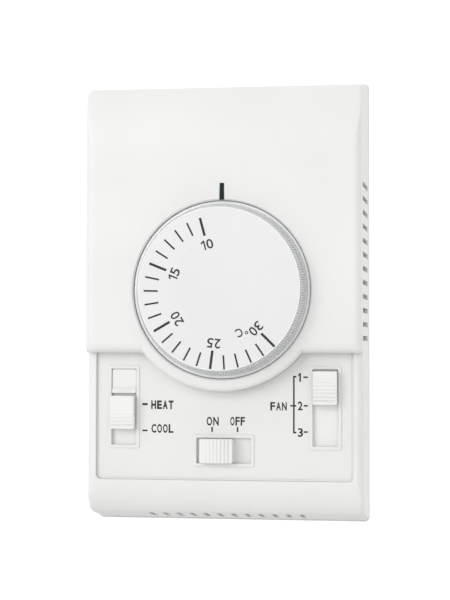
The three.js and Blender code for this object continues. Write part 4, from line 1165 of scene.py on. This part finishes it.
def scale_mesh():
    """The printed scale: a mark for each degree, longer and numbered every five."""
    depth = FACE.front - FACE_SINK

    def ring(count, first, step, inner, width):
        inputs = {"Count": count, "First": first, "Step": step, "Centre": SCALE_CENTRE,
                  "Finish": shared(printing_ink)}
        mark = stroke(-width / 2, width / 2, inner, MARK_TIP, depth)
        return modified(mark, "NODES", inputs, node_group=shared(ring_tree))

    def numeral(text, width, height, turn, radius):
        x = SCALE_CENTRE.x - radius * math.sin(turn) + NUMERAL_SHIFT[0]
        h = SCALE_CENTRE.z + radius * math.cos(turn) + NUMERAL_SHIFT[1]
        return printed(text, width, height, x, h, depth, turn)

    blocks = (SCALE_HIGH - SCALE_LOW) // SCALE_STEP
    marks = [ring(blocks + 1, SCALE_FIRST, SCALE_STEP * SCALE_DEGREE, **LONG_MARK)]
    for block in range(blocks):
        first = SCALE_FIRST + (block * SCALE_STEP + 1) * SCALE_DEGREE
        marks.append(ring(SCALE_STEP - 1, first, SCALE_DEGREE, **SHORT_MARK))
    for value in range(SCALE_LOW, SCALE_HIGH + 1, SCALE_STEP):
        turn = SCALE_FIRST + (value - SCALE_LOW) * SCALE_DEGREE
        width = 3.4 * MM if value < 20 else 3.8 * MM
        marks.append(numeral(str(value), width, NUMERAL_HEIGHT, turn, NUMERAL_RADIUS))
    for symbol, width, height, turn, radius in UNIT_CHARACTERS:
        marks.append(
            numeral(symbol, width * MM, height * MM, math.radians(turn), radius * MM))
    return joined("scale_marks", marks)


# The panel's print, in mm: each word with its middle, width, height and weight.
WORDS = (
    ("HEAT", -17.85, -30.2, 6.5, 2.5, 0.048), ("COOL", -17.8, -37.0, 6.4, 2.5, 0.032),
    ("ON", -3.2, -34.8, 3.5, 2.5, 0.028), ("OFF", 4.0, -34.75, 4.2, 2.5, 0.028),
    ("FAN", 15.75, -30.4, 4.7, 2.4, 0.03), ("1", 21.75, -22.15, 0.8, 2.5, 0.025),
    ("2", 21.95, -30.25, 1.35, 2.5, 0.025), ("3", 22.0, -37.8, 1.45, 2.5, 0.025),
)
LINE = 0.46
BRACKET, BRACKET_TOP, BRACKET_BOTTOM = 20.13, -21.95, -37.84
# Dashes run from left to right at a height, with a thickness. Ticks run up at an x.
DASHES = (
    (-23.7, -22.15, -30.05, LINE * 1.36), (-23.65, -22.15, -37.6, LINE),
    (BRACKET + LINE / 2, 20.85, BRACKET_TOP, LINE),
    (BRACKET + LINE / 2, 20.85, BRACKET_BOTTOM, LINE),
    (19.1, BRACKET - LINE / 2, -30.25, LINE), (BRACKET + LINE / 2, 20.8, -30.25, LINE),
    (22.85, 24.1, -22.1, LINE), (22.95, 24.1, -30.2, LINE), (22.95, 24.1, -37.65, LINE),
)
TICKS = (
    (-3.36, -37.85, -36.4), (4.0, -37.85, -36.4),
    (BRACKET, BRACKET_BOTTOM - LINE / 2, BRACKET_TOP + LINE / 2),
)


def legend_mesh():
    """The printed words, numbers and lead lines beside the slide switches."""
    marks = [printed(text, width * MM, height * MM, x * MM, h * MM, PANEL_FRONT, 0, weight)
             for text, x, h, width, height, weight in WORDS]
    edges = [(left, right, h - thick / 2, h + thick / 2) for left, right, h, thick in DASHES]
    edges += [(x - LINE / 2, x + LINE / 2, bottom, top) for x, bottom, top in TICKS]
    marks += [stroke(*(value * MM for value in sides), PANEL_FRONT) for sides in edges]
    return joined("panel_legends", marks)


def pointer_mesh():
    """The fixed index mark over the dial, a short raised bar."""
    middle, foot, head, lift, root = 0.15 * MM, 0.7 * MM, 0.62 * MM, 0.12 * MM, 0.2 * MM
    top, bottom = 33.0 * MM, AXIS.z + WELL_RADIUS + 0.1 * MM

    def level(grow, depth):
        corners = ((-foot - grow, bottom - grow), (foot + grow, bottom - grow),
                   (head + grow, top + grow), (-head - grow, top + grow))
        return [(x + middle, h) for x, h in corners], depth

    return stack("index_mark", [
        level(0, HOOD_FRONT - root), level(0, HOOD_FRONT + lift / 2),
        level(-lift / 2, HOOD_FRONT + lift)])


# ---- operators


class PieceOperator:
    bl_options = {"REGISTER", "UNDO"}


class THERMOSTAT_OT_wall_plate(PieceOperator, bpy.types.Operator):
    """Build the base plate that is screwed to the wall"""

    bl_idname = "thermostat.wall_plate"
    bl_label = "Wall Plate"

    def execute(self, context):
        piece("wall_plate", shaded(wall_plate_mesh()), wall_side_white, "casing",
              "back_plastic", "base_plate")
        return {"FINISHED"}


class THERMOSTAT_OT_cover(PieceOperator, bpy.types.Operator):
    """Build the front cover with its hood, chin, collar and air vents"""

    bl_idname = "thermostat.cover"
    bl_label = "Front Cover"

    def execute(self, context):
        piece("cover_shell", shaded(cover_mesh()), casing_white, "casing", "white_plastic",
              "front_cover")
        return {"FINISHED"}


class THERMOSTAT_OT_switch_panel(PieceOperator, bpy.types.Operator):
    """Build the switch fascia and the plate that closes its unused slot end"""

    bl_idname = "thermostat.switch_panel"
    bl_label = "Switch Panel"

    def execute(self, context):
        piece("panel_sheet", shaded(fascia_mesh()), panel_white, "casing", "white_plastic",
              "switch_fascia")
        piece("slot_blank", shaded(blank_mesh()), cap_white, "casing", "white_plastic",
              "blanking_plate")
        return {"FINISHED"}


class THERMOSTAT_OT_slide_caps(PieceOperator, bpy.types.Operator):
    """Build the grooved caps of the three slide switches"""

    bl_idname = "thermostat.slide_caps"
    bl_label = "Slide Caps"

    def execute(self, context):
        for slide in SLIDES:
            piece(f"{slide.name}_button", shaded(cap_mesh(slide)), cap_white,
                  f"{slide.name}_slide", "white_plastic", f"{slide.name}_cap")
        return {"FINISHED"}


class THERMOSTAT_OT_dial(PieceOperator, bpy.types.Operator):
    """Build the dial's clear knurled body, its scale disc and the printed scale"""

    bl_idname = "thermostat.dial"
    bl_label = "Dial"

    def execute(self, context):
        piece("dial_body", shaded(knob_mesh(), KNURL_SHARP), clear_moulding, "dial",
              "clear_plastic", "dial_knob")
        piece("scale_disc", shaded(face_mesh()), scale_disc_white, "dial", "printed_white",
              "dial_face")
        piece("scale_marks", scale_mesh(), printing_ink, "dial", "black_plastic")
        return {"FINISHED"}


class THERMOSTAT_OT_legends(PieceOperator, bpy.types.Operator):
    """Print the switch panel's legends and set the index mark over the dial"""

    bl_idname = "thermostat.legends"
    bl_label = "Legends"

    def execute(self, context):
        piece("panel_legends", legend_mesh(), printing_ink, "casing", "black_plastic")
        piece("index_mark", pointer_mesh(), index_paint, "casing", "black_plastic")
        return {"FINISHED"}


class THERMOSTAT_OT_inner_works(PieceOperator, bpy.types.Operator):
    """Give every frame node that stays its own procedural finish"""

    bl_idname = "thermostat.inner_works"
    bl_label = "Inner Works"

    def execute(self, context):
        for name, part in frame["nodes"].items():
            part.data.materials.clear()
            part.data.materials.append(shared(FINISH_OF_SLOT[slot_of(name)]))
        return {"FINISHED"}


def slot_of(node):
    """The record's material slot of a frame node."""
    parts = frame["record"]["subparts"]
    return next(part["material_slot"] for part in parts if part["node"] == node)


class THERMOSTAT_OT_stage(PieceOperator, bpy.types.Operator):
    """Set the floor, the studio light and the camera"""

    bl_idname = "thermostat.stage"
    bl_label = "Stage"

    def execute(self, context):
        scene = context.scene
        scene.view_settings.view_transform = "Standard"
        scene.view_settings.look = "None"
        add_floor()
        add_studio(scene)
        add_camera(scene)
        return {"FINISHED"}


def add_floor():
    radius, level, thickness, segments = 1.1, -0.36, 0.01, 96
    turns = [2 * math.pi * i / segments for i in range(segments)]
    loop = [(radius * math.cos(turn), radius * math.sin(turn)) for turn in turns]
    mesh = prism("floor", loop, "h", level - thickness, level)
    finish = Finish("floor_paint")
    finish.colour(finish.noise(0.3, 3), tinted(colours().floor, 0.98), colours().floor)
    finish.roughness(finish.noise(0.05, 2), 0.7, 0.8)
    mesh.materials.append(finish.material)
    held("floor", mesh)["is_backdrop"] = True


# The lamps: where they stand, how wide they are and their power. The sky's strength runs from
# SKY_FRONT, in front of the thermostat, to SKY_BEHIND.
LAMPS = (("key", (-0.7, -1.15, 0.35), 0.9, 7.4), ("fill", (0.4, -1.3, 0.3), 1.0, 3.2))
SKY_FRONT, SKY_BEHIND = 0.6, 1.1
SKY_SPAN = (-0.85, 0.1)


def add_studio(scene):
    """White surroundings, softer in front of the thermostat, and two large soft lights."""
    world = bpy.data.worlds.new("studio")
    world.use_nodes = True
    tree = world.node_tree
    tree.nodes.clear()
    way = add_node(tree, "ShaderNodeTexCoord", {}, {}).outputs["Generated"]
    along = add_node(tree, "ShaderNodeSeparateXYZ", {0: way}, {}).outputs[1]
    spread = add_node(tree, "ShaderNodeMapRange", {
        0: along, "From Min": SKY_SPAN[0], "From Max": SKY_SPAN[1], "To Min": SKY_FRONT,
        "To Max": SKY_BEHIND}, {"interpolation_type": "SMOOTHSTEP"}).outputs[0]
    light = add_node(tree, "ShaderNodeBackground", {"Color": (1, 1, 1, 1), "Strength": spread}, {})
    add_node(tree, "ShaderNodeOutputWorld", {"Surface": light.outputs[0]}, {})
    scene.world = world
    for name, place, size, power in LAMPS:
        lamp = bpy.data.lights.new(name, "AREA")
        lamp.shape = "DISK"
        lamp.size = size
        lamp.energy = power
        holder = held(name, lamp)
        holder.location = place
        holder.rotation_euler = (-Vector(place)).to_track_quat("-Z", "Y").to_euler()


CAMERA_PLACE = (57.1 * MM, -436.1 * MM, -14.8 * MM)
YAW, PITCH, ROLL = (math.radians(angle) for angle in (7.81, 2.02, 0.11))
SENSOR_HEIGHT, LENS = 36.0, 87.42


def add_camera(scene):
    """A little to the right of the thermostat and looking slightly up, as the maker shows it."""
    data = bpy.data.cameras.new("camera")
    data.sensor_fit = "VERTICAL"
    data.sensor_height = SENSOR_HEIGHT
    data.lens = LENS
    data.clip_start, data.clip_end = 0.01, 20
    flat = math.cos(PITCH)
    forward = Vector((-math.sin(YAW) * flat, math.cos(YAW) * flat, math.sin(PITCH)))
    level = Vector((math.cos(YAW), math.sin(YAW), 0))
    upright = level.cross(forward)
    right = level * math.cos(ROLL) + upright * math.sin(ROLL)
    up = upright * math.cos(ROLL) - level * math.sin(ROLL)
    turn = Matrix((right, up, -forward)).transposed().to_4x4()
    camera = held("camera", data)
    camera.matrix_world = Matrix.Translation(CAMERA_PLACE) @ turn
    scene.camera = camera


class THERMOSTAT_PT_pieces(bpy.types.Panel):
    """Lists the pieces in the order they are built"""

    bl_idname = "THERMOSTAT_PT_pieces"
    bl_label = "Wall Thermostat"
    bl_space_type = "VIEW_3D"
    bl_region_type = "UI"
    bl_category = "Thermostat"

    def draw(self, context):
        for group in (context.scene.thermostat_sizes, context.scene.thermostat_colours):
            box = self.layout.box()
            for name in group.__annotations__:
                box.prop(group, name)
        for operator in PIECE_OPERATORS:
            self.layout.operator(operator.bl_idname)


PIECE_OPERATORS = (
    THERMOSTAT_OT_wall_plate,
    THERMOSTAT_OT_cover,
    THERMOSTAT_OT_switch_panel,
    THERMOSTAT_OT_slide_caps,
    THERMOSTAT_OT_dial,
    THERMOSTAT_OT_legends,
    THERMOSTAT_OT_inner_works,
    THERMOSTAT_OT_stage,
)

CLASSES = (ThermostatSizes, ThermostatColours, *PIECE_OPERATORS, THERMOSTAT_PT_pieces)


def register():
    for cls in CLASSES:
        bpy.utils.register_class(cls)
    bpy.types.Scene.thermostat_sizes = PointerProperty(type=ThermostatSizes)
    bpy.types.Scene.thermostat_colours = PointerProperty(type=ThermostatColours)


def unregister():
    del bpy.types.Scene.thermostat_colours
    del bpy.types.Scene.thermostat_sizes
    for cls in reversed(CLASSES):
        bpy.utils.unregister_class(cls)


def main():
    register()
    for operator in PIECE_OPERATORS:
        group, name = operator.bl_idname.split(".")
        getattr(getattr(bpy.ops, group), name)()
    {"cad": plain(cad_box), "visual": plain(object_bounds())}


def plain(box):
    return [[float(value) for value in corner] for corner in box]


if __name__ == "__main__":
    main()
